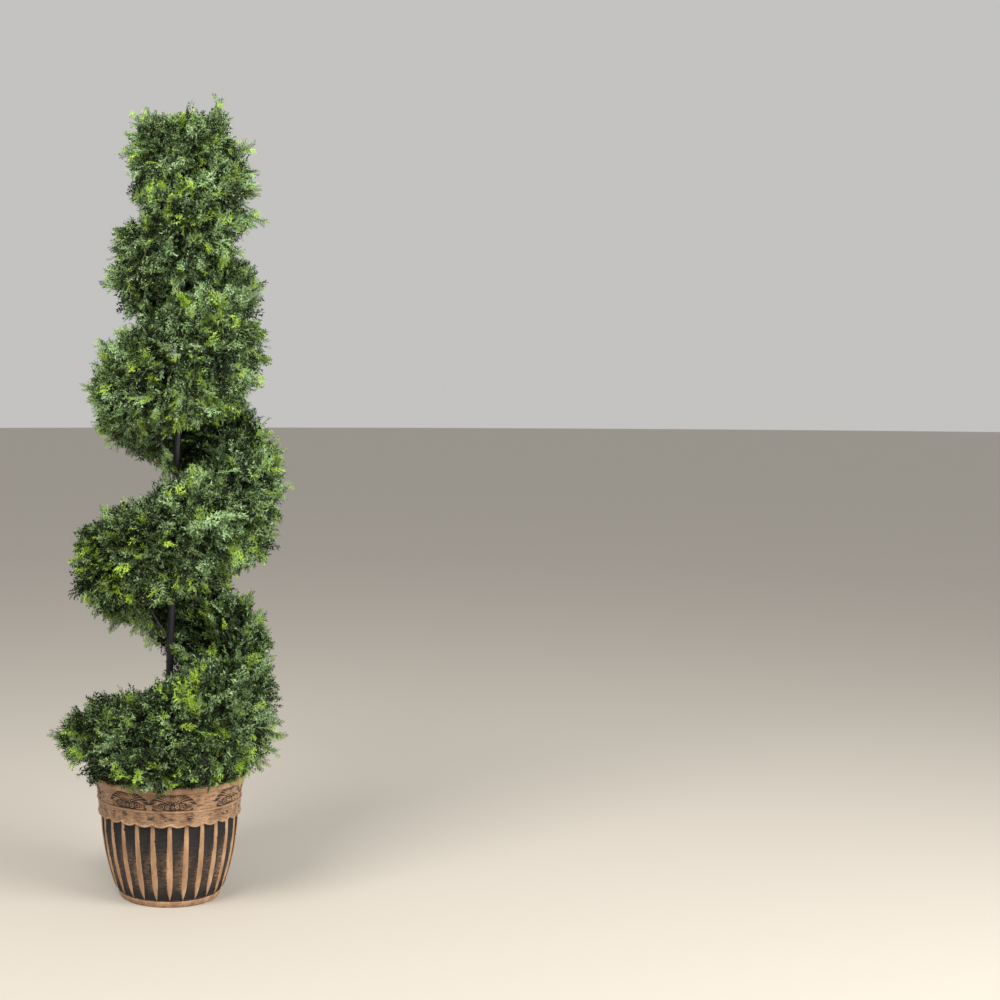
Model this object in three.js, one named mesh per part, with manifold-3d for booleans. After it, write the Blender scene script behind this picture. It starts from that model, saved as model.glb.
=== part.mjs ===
// Spiral topiary: an artificial cypress clipped into one rising spiral round a black pole,
// in a fluted pot with a cast filling. Millimetres, +Z up. The origin is the middle of the
// pot's flat underside, +X is right and -Y is the front.

import * as THREE from "three";
import { mergeVertices } from "three/addons/utils/BufferGeometryUtils.js";
import Module from "manifold-3d";

const wasm = await Module();
wasm.setup();

const TURN = 2 * Math.PI;
const GAP = 0.3; // clear between neighbouring solids

// Pot
const POT_HEIGHT = 187;
const FOOT_RADIUS = 76;
const FOOT_HEIGHT = 9; // of the plain ring under the flutes
const FLUTE_START = 12;
const RIB_SHARES = [[22, 0.16], [48, 0.44], [86, 0.36]]; // height, and the rib's share of its flute
const TOP_RIB_SHARE = 0.24;
const BODY_RADIUS = 104.5; // where the fluted body meets the band
const BAND_HEIGHT = 131; // of the band's lower edge
const BAND_LOW_RADIUS = 107;
const BAND_HIGH_RADIUS = 113;
const BEAD_HEIGHT = 150; // of the moulding round the band
const BEAD_PROUD = 1.5;
const LIP_RADIUS = 117;
const LIP_DEPTH = 8;
const FLUTES = 26;
const FLUTE_DEPTH = 3;
const SCALLOP_DROP = 4; // how far the band's edge hangs down in each flute
const POT_WALL = 4.5;
const POT_FLOOR = 9;
const WALL_BEND = 48; // height at which the inner wall bends
const FILLING_TOP = 166;

// Pole and struts
const POLE_RADIUS = 5.5;
const POLE_FOOT = 30; // height of the pole's foot in the filling
const POLE_TIP = 1086;
const POLE_OFFSET = -5; // of the pole's middle from the pot's, at the pot's rim
const LEAN = THREE.MathUtils.degToRad(1.9); // towards +X
const STRUT_RADIUS = 2.4;
const STRUT_TIP_RADIUS = 1.6;
const STRUT_SLOPE = 1.6; // rise over run
const LOWEST_STRUT = 172;
const STEM_LENGTH = 16; // of wire in the foliage, from the strut's tip on

// Spiral. It turns anticlockwise seen from above, and starts and ends on the right side. The
// lists are by half turns: the band's middle height, how far from the pole it reaches, and
// half its thickness. Each pair is one turn: a place on the right and one on the left.
const HEIGHTS = [226, 240, 318, 498, 612, 762, 858, 962, 1062, 1112, 1136];
const REACHES = [150, 173, 172, 160, 174, 145, 136, 119, 108, 96, 86];
const HALVES = [54, 66, 116, 82, 112, 84, 104, 88, 90, 68, 50];
const LAST = HEIGHTS.length - 1;
const END = (LAST / 2) * 2 * Math.PI; // the angle at which the spiral ends
const MASSES = 15;
const SAG = 1.08; // the band hangs this much further below its middle, and rises less above
const CLIMB = 2; // above 1, the band does most of its climb behind just past the right side
const SECTION_POWER = 3; // of the super-ellipse that bounds the band's section
const INNER_CLEARANCE = 4; // between the pole and the foliage
const CROWN_HOLE = 27; // radius left in the last turn for the crown
const LOW_CORE = 0.76; // the core's share of the section
const HIGH_CORE = 0.84;
const ROUNDED = 0.6; // half turns over which the core rounds off at the spiral's upper end
const TOP_ROOM = 34; // for sprays above the last turn
const END_INSET = GAP / 20; // radians between a core's end and the plane that bounds its mass

// Crown, the bud of foliage on the pole's tip
const CROWN_HEIGHT = 1136;
const CROWN_CORE = new THREE.Vector3(26, 26, 40);
const CROWN_REACH = 30;
const CROWN_SPRAYS = 16;

// Sprays: a twig with a toothed blade
const SPRAY_AREA = 6250; // of the band's skin, for each spray
const OUTER_SKIN = 1.5 * Math.PI; // of the way round the section, all but the side to the pole
const END_MARGIN = 0.04; // share of a mass kept free of roots at both ends
const SHORTEST_SPRAY = 28;
const LONGEST_SPRAY = 37;
const ROOT_DEPTH = 7; // of a twig in the core
const TWIG_RADIUS = 1.6;
const TWIG_SHARE = 0.45; // of the spray's length
const BLADE_FOOT = 0.24; // where on the spray the blade begins
const BLADE_THICKNESS = 0.07; // share of the blade's length
const BLADE_DROOP = 0.14;
const BLADE_TEETH = [[0.46, 0.38], [0.52, 0.15], [0.78, 0.29], [0.77, 0.11]];
const SPREAD_ANGLE = THREE.MathUtils.degToRad(22); // how far a twig strays from straight out
const SEED = 7;

const mix = THREE.MathUtils.lerp;
const smooth = THREE.MathUtils.smoothstep;

// A number from 0 to 1 that depends only on the seed and two whole numbers.
function chance(index, channel) {
  let h = Math.imul(index + 1, 0x9e3779b1) ^ Math.imul(channel + SEED, 0x85ebca6b);
  h = Math.imul(h ^ (h >>> 15), 0x2c1b3c6d);
  h = Math.imul(h ^ (h >>> 12), 0x297a2d39);
  return ((h ^ (h >>> 15)) >>> 0) / 2 ** 32;
}

// The k-th point of a sequence that fills the unit square evenly.
function evenPoint(k) {
  const plastic = 1.324717957244746;
  return [(0.5 + k / plastic) % 1, (0.5 + k / plastic ** 2) % 1];
}

// Catmull-Rom interpolation in one of the lists by half turns.
function between(list, halfTurn) {
  const i = Math.min(LAST - 1, Math.max(0, Math.floor(halfTurn)));
  const f = halfTurn - i;
  const [a, b, c, d] = [-1, 0, 1, 2].map((k) => list[Math.min(LAST, Math.max(0, i + k))]);
  return b + 0.5 * f * (c - a + f * (2 * a - 5 * b + 4 * c - d + f * (3 * (b - c) + d - a)));
}

// Half turns, moved on where the band runs from the right side behind to the left side.
function climbed(halfTurn) {
  const i = Math.floor(halfTurn);
  if (i % 2) return halfTurn;
  return i + 1 - (1 - (halfTurn - i)) ** CLIMB;
}

// The band at an angle in radians, counted on from turn to turn, as if it were alone: the
// middle's height, and the heights of its top and underside.
function band(angle) {
  const n = (2 * angle) / TURN;
  const height = between(HEIGHTS, climbed(n));
  const half = between(HALVES, n);
  const onPot = 1 - smooth(n, 1.6, 2.3);
  const onRim = height - (height - POT_HEIGHT - 2) / LOW_CORE; // sets the core on the rim
  const underside = Math.max(onRim, mix(height - half * SAG, onRim, onPot));
  return { height, top: height + half * (2 - SAG), underside };
}

// The height that parts the band at an angle from the band one turn above it.
function seamHeight(angle) {
  const low = band(angle);
  if (angle + TURN > END + 1e-6) return low.top + TOP_ROOM;
  return (low.top + band(angle + TURN).underside) / 2;
}

// The spiral's section at an angle: the middle's height, the inner and outer distance from
// the pole, and the thickness above and below the middle.
function section(angle) {
  const n = (2 * angle) / TURN;
  const { height, top, underside } = band(angle);
  const reach = between(REACHES, n);
  const inner = mix(POLE_RADIUS + INNER_CLEARANCE, CROWN_HOLE, smooth(n, 7.4, 8.4));
  const above = Math.min(top, seamHeight(angle) - 1) - height;
  const floor = angle >= TURN - 1e-6 ? seamHeight(angle - TURN) + 1 : underside;
  return { height, inner, reach, above, below: height - Math.max(underside, floor) };
}

function coreShare(angle) {
  const n = (2 * angle) / TURN;
  const round = 1 - 0.45 * Math.max(0, (n - LAST + ROUNDED) / ROUNDED) ** 2;
  return mix(LOW_CORE, HIGH_CORE, smooth(n, LAST / 2, LAST - 2)) * round;
}

// The pole's middle at a height.
function poleMiddle(height) {
  return new THREE.Vector3(
    POLE_OFFSET + (height - POT_HEIGHT) * Math.tan(LEAN), 0, height,
  );
}

// A point by its angle round the pole, its distance from the pole and its height.
function aroundPole(angle, distance, height) {
  const p = poleMiddle(height);
  p.x += distance * Math.cos(angle);
  p.y += distance * Math.sin(angle);
  return p;
}

// A point of the band's skin, shrunk by share towards the section's middle. way is the
// angle round the section: 0 points outwards and a quarter turn points up.
function bandPoint(angle, way, share) {
  const s = section(angle);
  const c = Math.cos(way);
  const d = Math.sin(way);
  const r = (Math.abs(c) ** SECTION_POWER + Math.abs(d) ** SECTION_POWER) ** (-1 / SECTION_POWER);
  const middle = (s.inner + s.reach) / 2;
  const half = (s.reach - s.inner) / 2;
  const tall = d > 0 ? s.above : s.below;
  return aroundPole(angle, middle + share * half * r * c, s.height + share * tall * r * d);
}

// Closed solid of a skin of rings, each a list of points, with a fan on both ends.
function solidOfRings(rings) {
  const around = rings[0].length;
  const points = rings.flat();
  const faces = [];
  for (let i = 0; i + 1 < rings.length; i++) {
    for (let j = 0; j < around; j++) {
      const a = i * around + j;
      const b = i * around + ((j + 1) % around);
      faces.push(a, b, b + around, a, b + around, a + around);
    }
  }
  const ends = [
    [0, rings[0], true],
    [points.length - around, rings.at(-1), false],
  ];
  for (const [first, ring, reversed] of ends) {
    const centre = new THREE.Vector3();
    ring.forEach((p) => centre.addScaledVector(p, 1 / around));
    const hub = points.push(centre) - 1;
    for (let j = 0; j < around; j++) {
      const a = first + j;
      const b = first + ((j + 1) % around);
      faces.push(hub, reversed ? b : a, reversed ? a : b);
    }
  }
  return solidOf(points, faces);
}

// A manifold-3d solid of points and faces, turned the right way out.
function solidOf(points, faces) {
  const flat = Float32Array.from(points.flatMap((p) => [p.x, p.y, p.z]));
  const made = (triVerts) =>
    new wasm.Manifold(new wasm.Mesh({ numProp: 3, vertProperties: flat, triVerts }));
  const solid = made(Uint32Array.from(faces));
  if (solid.volume() > 0) return solid;
  return made(Uint32Array.from(faces).reverse());
}

// The solid of a three.js geometry.
function solidOfGeometry(geometry) {
  const bare = geometry.clone();
  bare.deleteAttribute("normal");
  bare.deleteAttribute("uv");
  const merged = mergeVertices(bare, 1e-4);
  const mesh = new wasm.Mesh({
    numProp: 3,
    vertProperties: merged.attributes.position.array,
    triVerts: Uint32Array.from(merged.index.array),
  });
  return new wasm.Manifold(mesh);
}

// The largest piece of a solid as a three.js geometry: loose scraps go, hollows close.
function geometryOf(solid) {
  const pieces = solid.decompose().sort((a, b) => b.volume() - a.volume());
  const mesh = pieces[0].getMesh();
  const geometry = new THREE.BufferGeometry();
  geometry.setAttribute("position", new THREE.BufferAttribute(mesh.vertProperties, 3));
  geometry.setIndex(new THREE.BufferAttribute(mesh.triVerts, 1));
  return geometry;
}

// A tapering rod between two points.
function rod(from, to, startRadius, endRadius, sides) {
  const along = to.clone().sub(from);
  const geometry = new THREE.CylinderGeometry(endRadius, startRadius, along.length(), sides);
  const turn = new THREE.Quaternion().setFromUnitVectors(
    new THREE.Vector3(0, 1, 0), along.clone().normalize(),
  );
  geometry.applyQuaternion(turn);
  const middle = from.clone().addScaledVector(along, 0.5);
  return geometry.translate(middle.x, middle.y, middle.z);
}

// Pot

function potRadius(height) {
  if (height < BAND_HEIGHT) {
    const t = height / BAND_HEIGHT;
    return FOOT_RADIUS + (BODY_RADIUS - FOOT_RADIUS) * Math.sin((Math.PI / 2) * t) ** 0.8;
  }
  const t = (height - BAND_HEIGHT) / (POT_HEIGHT - BAND_HEIGHT);
  return mix(BAND_LOW_RADIUS, BAND_HIGH_RADIUS, t);
}

// One ring round the pot with three points for each flute: a rib's two edges and the
// flute's middle. ribShare is the rib's share of the way round, and drop lowers the middles.
function potRing(height, radius, depth = 0, ribShare = 1 / 3, drop = 0) {
  const ring = [];
  for (let k = 0; k < FLUTES; k++) {
    const places = [
      [-ribShare / 2, radius, height],
      [ribShare / 2, radius, height],
      [0.5, radius - depth, height - drop],
    ];
    for (const [share, r, z] of places) {
      const angle = ((k + 0.5 + share) / FLUTES) * TURN;
      ring.push(new THREE.Vector3(r * Math.cos(angle), r * Math.sin(angle), z));
    }
  }
  return ring;
}

function potGeometry() {
  const inner = (height) => potRing(height, potRadius(height) - POT_WALL - FLUTE_DEPTH);
  const rings = [
    potRing(0, FOOT_RADIUS - 3),
    potRing(2, FOOT_RADIUS),
    potRing(FOOT_HEIGHT, FOOT_RADIUS + 2.5),
    potRing(FLUTE_START, potRadius(FLUTE_START) - FLUTE_DEPTH, 0, 0.08),
    ...RIB_SHARES.map(([height, share]) =>
      potRing(height, potRadius(height), FLUTE_DEPTH, share)),
    potRing(BAND_HEIGHT - 2, BODY_RADIUS, FLUTE_DEPTH, TOP_RIB_SHARE, SCALLOP_DROP - 1),
    potRing(BAND_HEIGHT, BAND_LOW_RADIUS, 0, TOP_RIB_SHARE, SCALLOP_DROP),
    potRing(BEAD_HEIGHT, potRadius(BEAD_HEIGHT) + BEAD_PROUD),
    potRing(BEAD_HEIGHT + 3, potRadius(BEAD_HEIGHT) - 1),
    potRing(POT_HEIGHT - LIP_DEPTH - 3, BAND_HIGH_RADIUS - 1),
    potRing(POT_HEIGHT - LIP_DEPTH, LIP_RADIUS),
    potRing(POT_HEIGHT, LIP_RADIUS - 1),
    potRing(POT_HEIGHT, BAND_HIGH_RADIUS - POT_WALL - 1),
    inner(BAND_HEIGHT - 1),
    inner(WALL_BEND),
    inner(POT_FLOOR),
  ];
  return geometryOf(solidOfRings(rings));
}

// The cast filling, with a hole that the pole stands in.
function fillingGeometry() {
  const skin = (height) => potRadius(height) - POT_WALL - FLUTE_DEPTH - 3 * GAP;
  const wide = skin(BAND_HEIGHT - 1);
  const profile = [new THREE.Vector2(0, POT_FLOOR + GAP)];
  for (const height of [POT_FLOOR + GAP, WALL_BEND, BAND_HEIGHT - 1]) {
    profile.push(new THREE.Vector2(skin(height), height));
  }
  profile.push(new THREE.Vector2(wide, FILLING_TOP - 3));
  profile.push(new THREE.Vector2(wide - 4, FILLING_TOP));
  profile.push(new THREE.Vector2(0, FILLING_TOP));
  const cast = new THREE.LatheGeometry(profile, FLUTES).rotateX(Math.PI / 2);
  const hole = rod(
    poleMiddle(POLE_FOOT - GAP), poleMiddle(FILLING_TOP + 20),
    POLE_RADIUS + GAP, POLE_RADIUS + GAP, 16,
  );
  return geometryOf(solidOfGeometry(cast).subtract(solidOfGeometry(hole)));
}

// Pole and struts

function poleGeometry() {
  return rod(poleMiddle(POLE_FOOT), poleMiddle(POLE_TIP), POLE_RADIUS, POLE_RADIUS, 16);
}

// Where a mass's strut leaves the pole's middle and where it meets the foliage's stem.
function strutEnds(mass) {
  const angle = (mass.from + mass.to) / 2;
  const tip = bandPoint(angle, Math.PI * 1.25, coreShare(angle) + 0.05);
  const run = tip.distanceTo(poleMiddle(tip.z));
  const foot = Math.max(LOWEST_STRUT, tip.z - STRUT_SLOPE * run);
  return { foot: poleMiddle(foot), tip };
}

function strutGeometry(mass) {
  const whole = rod(mass.strut.foot, mass.strut.tip, STRUT_RADIUS, STRUT_TIP_RADIUS, 6);
  const clear = rod(
    poleMiddle(0), poleMiddle(POLE_TIP), POLE_RADIUS + GAP, POLE_RADIUS + GAP, 16,
  );
  return geometryOf(solidOfGeometry(whole).subtract(solidOfGeometry(clear)));
}

// Sprays

// A toothed blade: an outline round a ridge point on each face. Its tip droops.
function bladeParts(root, along, across, length) {
  const facing = new THREE.Vector3().crossVectors(along, across).normalize();
  if (facing.z < 0) facing.negate();
  const at = (share, side, proud) =>
    root.clone()
      .addScaledVector(along, share * length)
      .addScaledVector(across, side * length)
      .addScaledVector(facing, proud * length * BLADE_THICKNESS * 0.5)
      .addScaledVector(facing, -BLADE_DROOP * share * share * length);
  const right = BLADE_TEETH.map(([share, side]) => at(share, side, 0));
  const left = BLADE_TEETH.map(([share, side]) => at(share + 0.04, -side, 0)).reverse();
  const points = [at(0, 0, 0), ...right, at(1, 0, 0), ...left];
  const around = points.length;
  points.push(at(0.42, 0, 1), at(0.42, 0, -1));
  const faces = [];
  for (let i = 0; i < around; i++) {
    const j = (i + 1) % around;
    faces.push(i, j, around, j, i, around + 1);
  }
  return { points, faces };
}

// A spray's twig and blade, as lists of points and faces. root is on the core's skin.
function sprayParts(root, out, across, length) {
  const start = root.clone().addScaledVector(out, -ROOT_DEPTH);
  const total = length + ROOT_DEPTH;
  const point = (share) => start.clone().addScaledVector(out, share * total);
  const facing = new THREE.Vector3().crossVectors(out, across);
  const corner = (base, k, radius) =>
    base.clone()
      .addScaledVector(across, radius * Math.cos((k / 3) * TURN))
      .addScaledVector(facing, radius * Math.sin((k / 3) * TURN));
  const foot = [0, 1, 2].map((k) => corner(start, k, TWIG_RADIUS));
  const head = [0, 1, 2].map((k) => corner(point(TWIG_SHARE), k, TWIG_RADIUS * 0.6));
  const blade = bladeParts(point(BLADE_FOOT), out, across, (1 - BLADE_FOOT) * total);
  return { blade, twig: [foot, head] };
}

// A unit vector that strays from a direction by up to SPREAD_ANGLE.
function strayed(direction, index) {
  const side = new THREE.Vector3(0, 0, 1).cross(direction).normalize();
  const up = direction.clone().cross(side);
  const turn = chance(index, 1) * TURN;
  const tilt = Math.sqrt(chance(index, 2)) * Math.tan(SPREAD_ANGLE);
  return direction.clone()
    .addScaledVector(side, tilt * Math.cos(turn))
    .addScaledVector(up, tilt * Math.sin(turn))
    .normalize();
}

// A unit vector square to a direction, turned by chance.
function turnedAcross(direction, index) {
  const side = new THREE.Vector3(0, 0, 1).cross(direction).normalize();
  return side.applyAxisAngle(direction, chance(index, 3) * Math.PI);
}

// The solids of a spray if all of it keeps to its own space, or an empty list.
function sprayIfClear({ blade, twig }, isClear) {
  const beyondRoot = blade.points.slice(1);
  const middles = beyondRoot.map((p, i) => p.clone().lerp(beyondRoot.at(i - 1), 0.5));
  if (![...beyondRoot, ...middles, ...twig[1]].every(isClear)) return [];
  return [solidOf(blade.points, blade.faces), solidOfRings(twig)];
}

// Space

function distanceToRod(p, from, to) {
  return new THREE.Line3(from, to).closestPointToPoint(p, true, new THREE.Vector3()).distanceTo(p);
}

function inPot(p) {
  if (p.z > POT_HEIGHT + 1) return false;
  return Math.hypot(p.x, p.y) < Math.max(LIP_RADIUS, potRadius(Math.max(0, p.z))) + 1;
}

// Angle and distance round the pole, with the angle within half a turn of near.
function placeOf(p, near) {
  const middle = poleMiddle(p.z);
  const angle = Math.atan2(p.y, p.x - middle.x);
  const turns = Math.round((near - angle) / TURN);
  return { angle: angle + turns * TURN, distance: Math.hypot(p.x - middle.x, p.y) };
}

// Whether a point lies in a mass's own space, clear of its neighbours, pole, pot and strut.
function inMassSpace(p, mass) {
  const near = (mass.from + mass.to) / 2;
  const { angle, distance } = placeOf(p, near);
  const margin = (2 * GAP) / Math.max(distance, 1);
  if (angle < mass.from + margin || angle > mass.to - margin) return false;
  const s = section(angle);
  if (distance < Math.max(POLE_RADIUS + 1.5, s.inner - 3)) return false;
  if (p.z > seamHeight(angle) - 1.5) return false;
  if (angle >= TURN && p.z < seamHeight(angle - TURN) + 1.5) return false;
  if (inPot(p)) return false;
  const struts = mass.struts.map(({ foot, tip }) => distanceToRod(p, foot, tip));
  return Math.min(...struts) > STRUT_RADIUS + 1;
}

// Foliage

// The core of a mass: its section, smaller, swept round the pole.
function coreSolid(mass) {
  const steps = 6;
  const around = 10;
  const rings = [];
  for (let i = 0; i <= steps; i++) {
    const angle = mix(mass.from, mass.to, i / steps);
    const inset = i === 0 ? END_INSET : i === steps ? -END_INSET : 0;
    const ring = [];
    for (let j = 0; j < around; j++) {
      ring.push(bandPoint(angle + inset, (j / around) * TURN, coreShare(angle)));
    }
    rings.push(ring);
  }
  return solidOfRings(rings);
}

// The piece of wire in a mass's core that its strut meets end to end.
function stemSolid(mass) {
  const { foot, tip } = mass.strut;
  const way = tip.clone().sub(foot).normalize();
  const start = tip.clone().addScaledVector(way, GAP);
  const end = tip.clone().addScaledVector(way, STEM_LENGTH);
  return solidOfGeometry(rod(start, end, STRUT_RADIUS, STRUT_RADIUS, 6));
}

// Sprays spread evenly over a mass: places with less skin for their angle are thinned out.
function massSprays(mass) {
  const s = section((mass.from + mass.to) / 2);
  const girth = Math.PI * ((s.reach - s.inner) / 2 + (s.above + s.below) / 2);
  const area = girth * ((s.reach + s.inner) / 2) * (mass.to - mass.from);
  const wanted = Math.round(area / SPRAY_AREA);
  const solids = [];
  let placed = 0;
  for (let k = 0; k < 20 * wanted && placed < wanted; k++) {
    const index = mass.index * 1000 + k;
    const [u, v] = evenPoint(k);
    const at = mix(mass.from, mass.to, mix(END_MARGIN, 1 - END_MARGIN, u));
    const here = section(at);
    const way = (v - 0.5) * OUTER_SKIN;
    const middle = (here.inner + here.reach) / 2;
    const distance = middle + (here.reach - middle) * Math.cos(way);
    if (chance(index, 0) > distance / here.reach) continue;
    const root = bandPoint(at, way, coreShare(at));
    const skin = bandPoint(at, way, 1);
    const out = strayed(skin.clone().sub(root).normalize(), index);
    const length = mix(SHORTEST_SPRAY, LONGEST_SPRAY, chance(index, 4));
    const parts = sprayParts(root, out, turnedAcross(out, index), length);
    const made = sprayIfClear(parts, (p) => inMassSpace(p, mass));
    if (made.length) placed++;
    solids.push(...made);
  }
  return solids;
}

function massGeometry(mass) {
  const core = coreSolid(mass).add(stemSolid(mass));
  return geometryOf(wasm.Manifold.union([core, ...massSprays(mass)]));
}

// Whether a point is in the crown's space: in the hole of the last turn, or above that turn.
function inCrownSpace(p) {
  const { angle, distance } = placeOf(p, END - TURN / 2);
  const s = section(angle);
  if (p.z > s.height + s.above + TOP_ROOM + 1) return true;
  return distance < s.inner - 4 && (p.z > POLE_TIP + 4 || distance > POLE_RADIUS + 2);
}

function crownGeometry() {
  const centre = poleMiddle(CROWN_HEIGHT);
  const ball = new THREE.IcosahedronGeometry(1, 2).scale(...CROWN_CORE.toArray());
  const core = solidOfGeometry(ball.translate(centre.x, centre.y, centre.z));
  const stem = rod(poleMiddle(POLE_TIP + GAP), centre, POLE_RADIUS - 1, POLE_RADIUS - 1, 10);
  const solids = [core, solidOfGeometry(stem)];
  const golden = Math.PI * (3 - Math.sqrt(5));
  for (let k = 0; k < CROWN_SPRAYS; k++) {
    const index = MASSES * 1000 + k;
    const level = 1 - (1.5 * (k + 0.5)) / CROWN_SPRAYS;
    const ring = Math.sqrt(1 - level * level);
    const unit = new THREE.Vector3(
      ring * Math.cos(k * golden), ring * Math.sin(k * golden), level,
    );
    const root = unit.clone().multiply(CROWN_CORE).add(centre);
    const out = strayed(unit, index);
    const length = CROWN_REACH * mix(0.9, 1.35, chance(index, 4));
    const parts = sprayParts(root, out, turnedAcross(out, index), length);
    solids.push(...sprayIfClear(parts, inCrownSpace));
  }
  return geometryOf(wasm.Manifold.union(solids));
}

// Assembly

function material(color, roughness, metalness = 0) {
  return new THREE.MeshStandardMaterial({ color, roughness, metalness });
}

const copper = material(0xb08058, 0.55, 0.3);
const cement = material(0x77706a, 0.95);
const black = material(0x1d1c20, 0.5);
const leafGreen = material(0x3f6a41, 0.7);

const topiary = new THREE.Group();
topiary.name = "spiral_topiary";

function addNode(name, geometry, finish) {
  const mesh = new THREE.Mesh(geometry, finish);
  mesh.name = name;
  topiary.add(mesh);
}

const masses = [];
for (let i = 0; i < MASSES; i++) {
  const step = END / MASSES;
  const mass = { index: i, from: i * step, to: (i + 1) * step };
  mass.strut = strutEnds(mass);
  masses.push(mass);
}
for (const mass of masses) {
  mass.struts = masses.map((other) => other.strut);
}

addNode("pot", potGeometry(), copper);
addNode("filling", fillingGeometry(), cement);
addNode("pole", poleGeometry(), black);
for (const mass of masses) {
  const number = String(mass.index + 1).padStart(2, "0");
  addNode(`strut_${number}`, strutGeometry(mass), black);
  addNode(`spiral_foliage_${number}`, massGeometry(mass), leafGreen);
}
addNode("crown_foliage", crownGeometry(), leafGreen);

export default topiary;
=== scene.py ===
# Looks of the spiral topiary: sprays of artificial cypress on twigs and wires, a ribbed pole
# and a fluted pot with a floral frieze. The spiral's rule is the source's own and works in
# millimetres. Meshes are written in metres. +X is right and -Y is the front.

import math

import bpy
import numpy as np
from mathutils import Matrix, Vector


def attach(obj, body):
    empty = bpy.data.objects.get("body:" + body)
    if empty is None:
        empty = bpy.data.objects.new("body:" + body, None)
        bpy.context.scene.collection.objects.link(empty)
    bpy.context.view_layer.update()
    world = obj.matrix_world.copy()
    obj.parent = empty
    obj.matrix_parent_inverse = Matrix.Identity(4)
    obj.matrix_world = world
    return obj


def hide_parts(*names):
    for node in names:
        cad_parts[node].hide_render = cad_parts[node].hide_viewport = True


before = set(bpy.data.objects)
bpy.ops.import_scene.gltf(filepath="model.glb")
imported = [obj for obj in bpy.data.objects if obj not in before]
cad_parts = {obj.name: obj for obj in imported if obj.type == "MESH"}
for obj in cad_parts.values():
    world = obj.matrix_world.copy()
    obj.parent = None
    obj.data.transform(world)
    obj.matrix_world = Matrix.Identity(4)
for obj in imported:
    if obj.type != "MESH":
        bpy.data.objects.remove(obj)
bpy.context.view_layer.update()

MM = 0.001
TURN = 2 * math.pi
GAP = 0.3
SEED = 7

# Pot
POT_HEIGHT = 187.0
FOOT_RADIUS = 76.0
BODY_RADIUS = 104.5  # where the fluted body meets the band
BAND_HEIGHT = 131.0  # of the band's lower edge
BAND_LOW_RADIUS = 107.0
BAND_HIGH_RADIUS = 113.0
LIP_RADIUS = 117.0
POT_WALL = 4.5
POT_FLOOR = 9.0
WALL_BEND = 48.0
FLUTES = 26
FLUTE_DEPTH = 3.0
FLUTE_START = 12.0
SCALLOP_DROP = 4.0
RIB_HEIGHTS = [12, 17, 24, 34, 48, 86, 110, 131]  # and the rib's share of its flute there
RIB_SHARES = [0.02, 0.12, 0.25, 0.35, 0.38, 0.31, 0.25, 0.21]
DRY_FROM = (16.0, 40.0)  # heights over which the dust in the flutes comes in, and goes
DRY_TO = (62.0, 112.0)
LOW_BEAD = 5.6  # height of the band's lower bead over its edge
HIGH_BEAD = 148.2  # where its upper bead starts
STAIN_HEIGHT = 141.0
STAIN_SPREAD = 2.8

# Pole and struts
POLE_RADIUS = 5.5
POLE_FOOT = 30.0
POLE_TIP = 1086.0
POLE_RIBS = 20
POLE_OFFSET = -5.0  # of the pole's middle from the pot's, at the pot's rim
LEAN = math.radians(1.9)  # towards +X
WIRE_FOOT_RADIUS = 1.9
WIRE_TIP_RADIUS = 1.3
WIRE_BOW = np.array([0, 0, -2.0])
WIRE_WAVE = np.array([0.25, 0.25, 0])
STRUT_SLOPE = 1.6
STRUT_WAY = math.pi * 1.25  # round the band's section, to where a strut ends
STRUT_END = 0.05  # how far outside the core's skin that is, as a share of the section
LOWEST_STRUT = 172.0
STEM_LENGTH = 16.0

# Spiral, by half turns: middle height, reach from the pole, and half thickness
HEIGHTS = np.array([226, 240, 318, 498, 612, 762, 858, 962, 1062, 1112, 1136], float)
REACHES = np.array([150, 173, 172, 160, 174, 145, 136, 119, 108, 96, 86], float)
HALVES = np.array([54, 66, 116, 82, 112, 84, 104, 88, 90, 68, 50], float)
LAST = len(HEIGHTS) - 1
END = LAST / 2 * TURN
MASSES = 15
SAG = 1.08
CLIMB = 2
SECTION_POWER = 3
INNER_CLEARANCE = 4
CROWN_HOLE = 27
LOW_CORE = 0.76
HIGH_CORE = 0.84
ROUNDED = 0.6
TOP_ROOM = 34
CROWN_HEIGHT = 1136
CROWN_CORE = np.array([26.0, 26.0, 40.0])
END_NARROWING = 0.45
OUTER_SKIN = 1.5 * math.pi  # how far round the section clusters grow, about its outer side

# Stretches of the spiral, in half turns
OFF_POT = (1.6, 2.3)  # where the band leaves the pot's rim
CLOSED_UP = (4.4, 5.4)  # where the turns start to touch
CROWNED = (7.4, 8.4)  # where the band makes room for the crown
TOPMOST = (7.8, 8.4)  # where no turn is above
LOWEST_START = (0.4, 0.9)
LOWEST_END = (1.5, 2.0)

# Sprays of the scene. The keys are what is known of each.
SPRAY_KEYS = ("root", "along", "normal", "length", "body", "tip_from", "tip")
CLUSTER_AREA = 860.0  # of the band's skin, for each cluster of sprays
CLUSTER_SPRAYS = 6
SPARE_PLACES = 20  # places that are tried for each cluster
CROWN_CLUSTERS = 26
CROWN_WIDEST_LEAN = 50.0
CROWN_INNER_STEP = 4  # outer sprays for each inner one
CROWN_ROOTS = 0.6  # where its clusters grow, on the way to its core's skin
CROWN_FANS = 0.85  # length of its sprays by those of the masses
CROWN_INNER_FANS = 0.6  # and of its inner ones by its outer ones
CLUSTER_DEPTH = 42.0  # of a cluster's root under the skin
SEAM_RISE = 16.0  # how much less deep a root is where it faces a seam
POCKET_DEPTHS = (8.0, 26.0)  # how much deeper a share of the clusters is
POCKET_SHARES = (0.28, 0.4)  # at the foot of the spiral and in its closed part
LEAST_LEAN = 8.0  # of a cluster's innermost spray, in degrees
WIDEST_LEAN = 66.0  # and of its outermost
LEAN_SPREAD = 7
STEM_LENGTHS = (5.0, 13.0)  # from a cluster's root to a spray's
SPRAY_LENGTHS = (26.0, 60.0)
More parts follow.
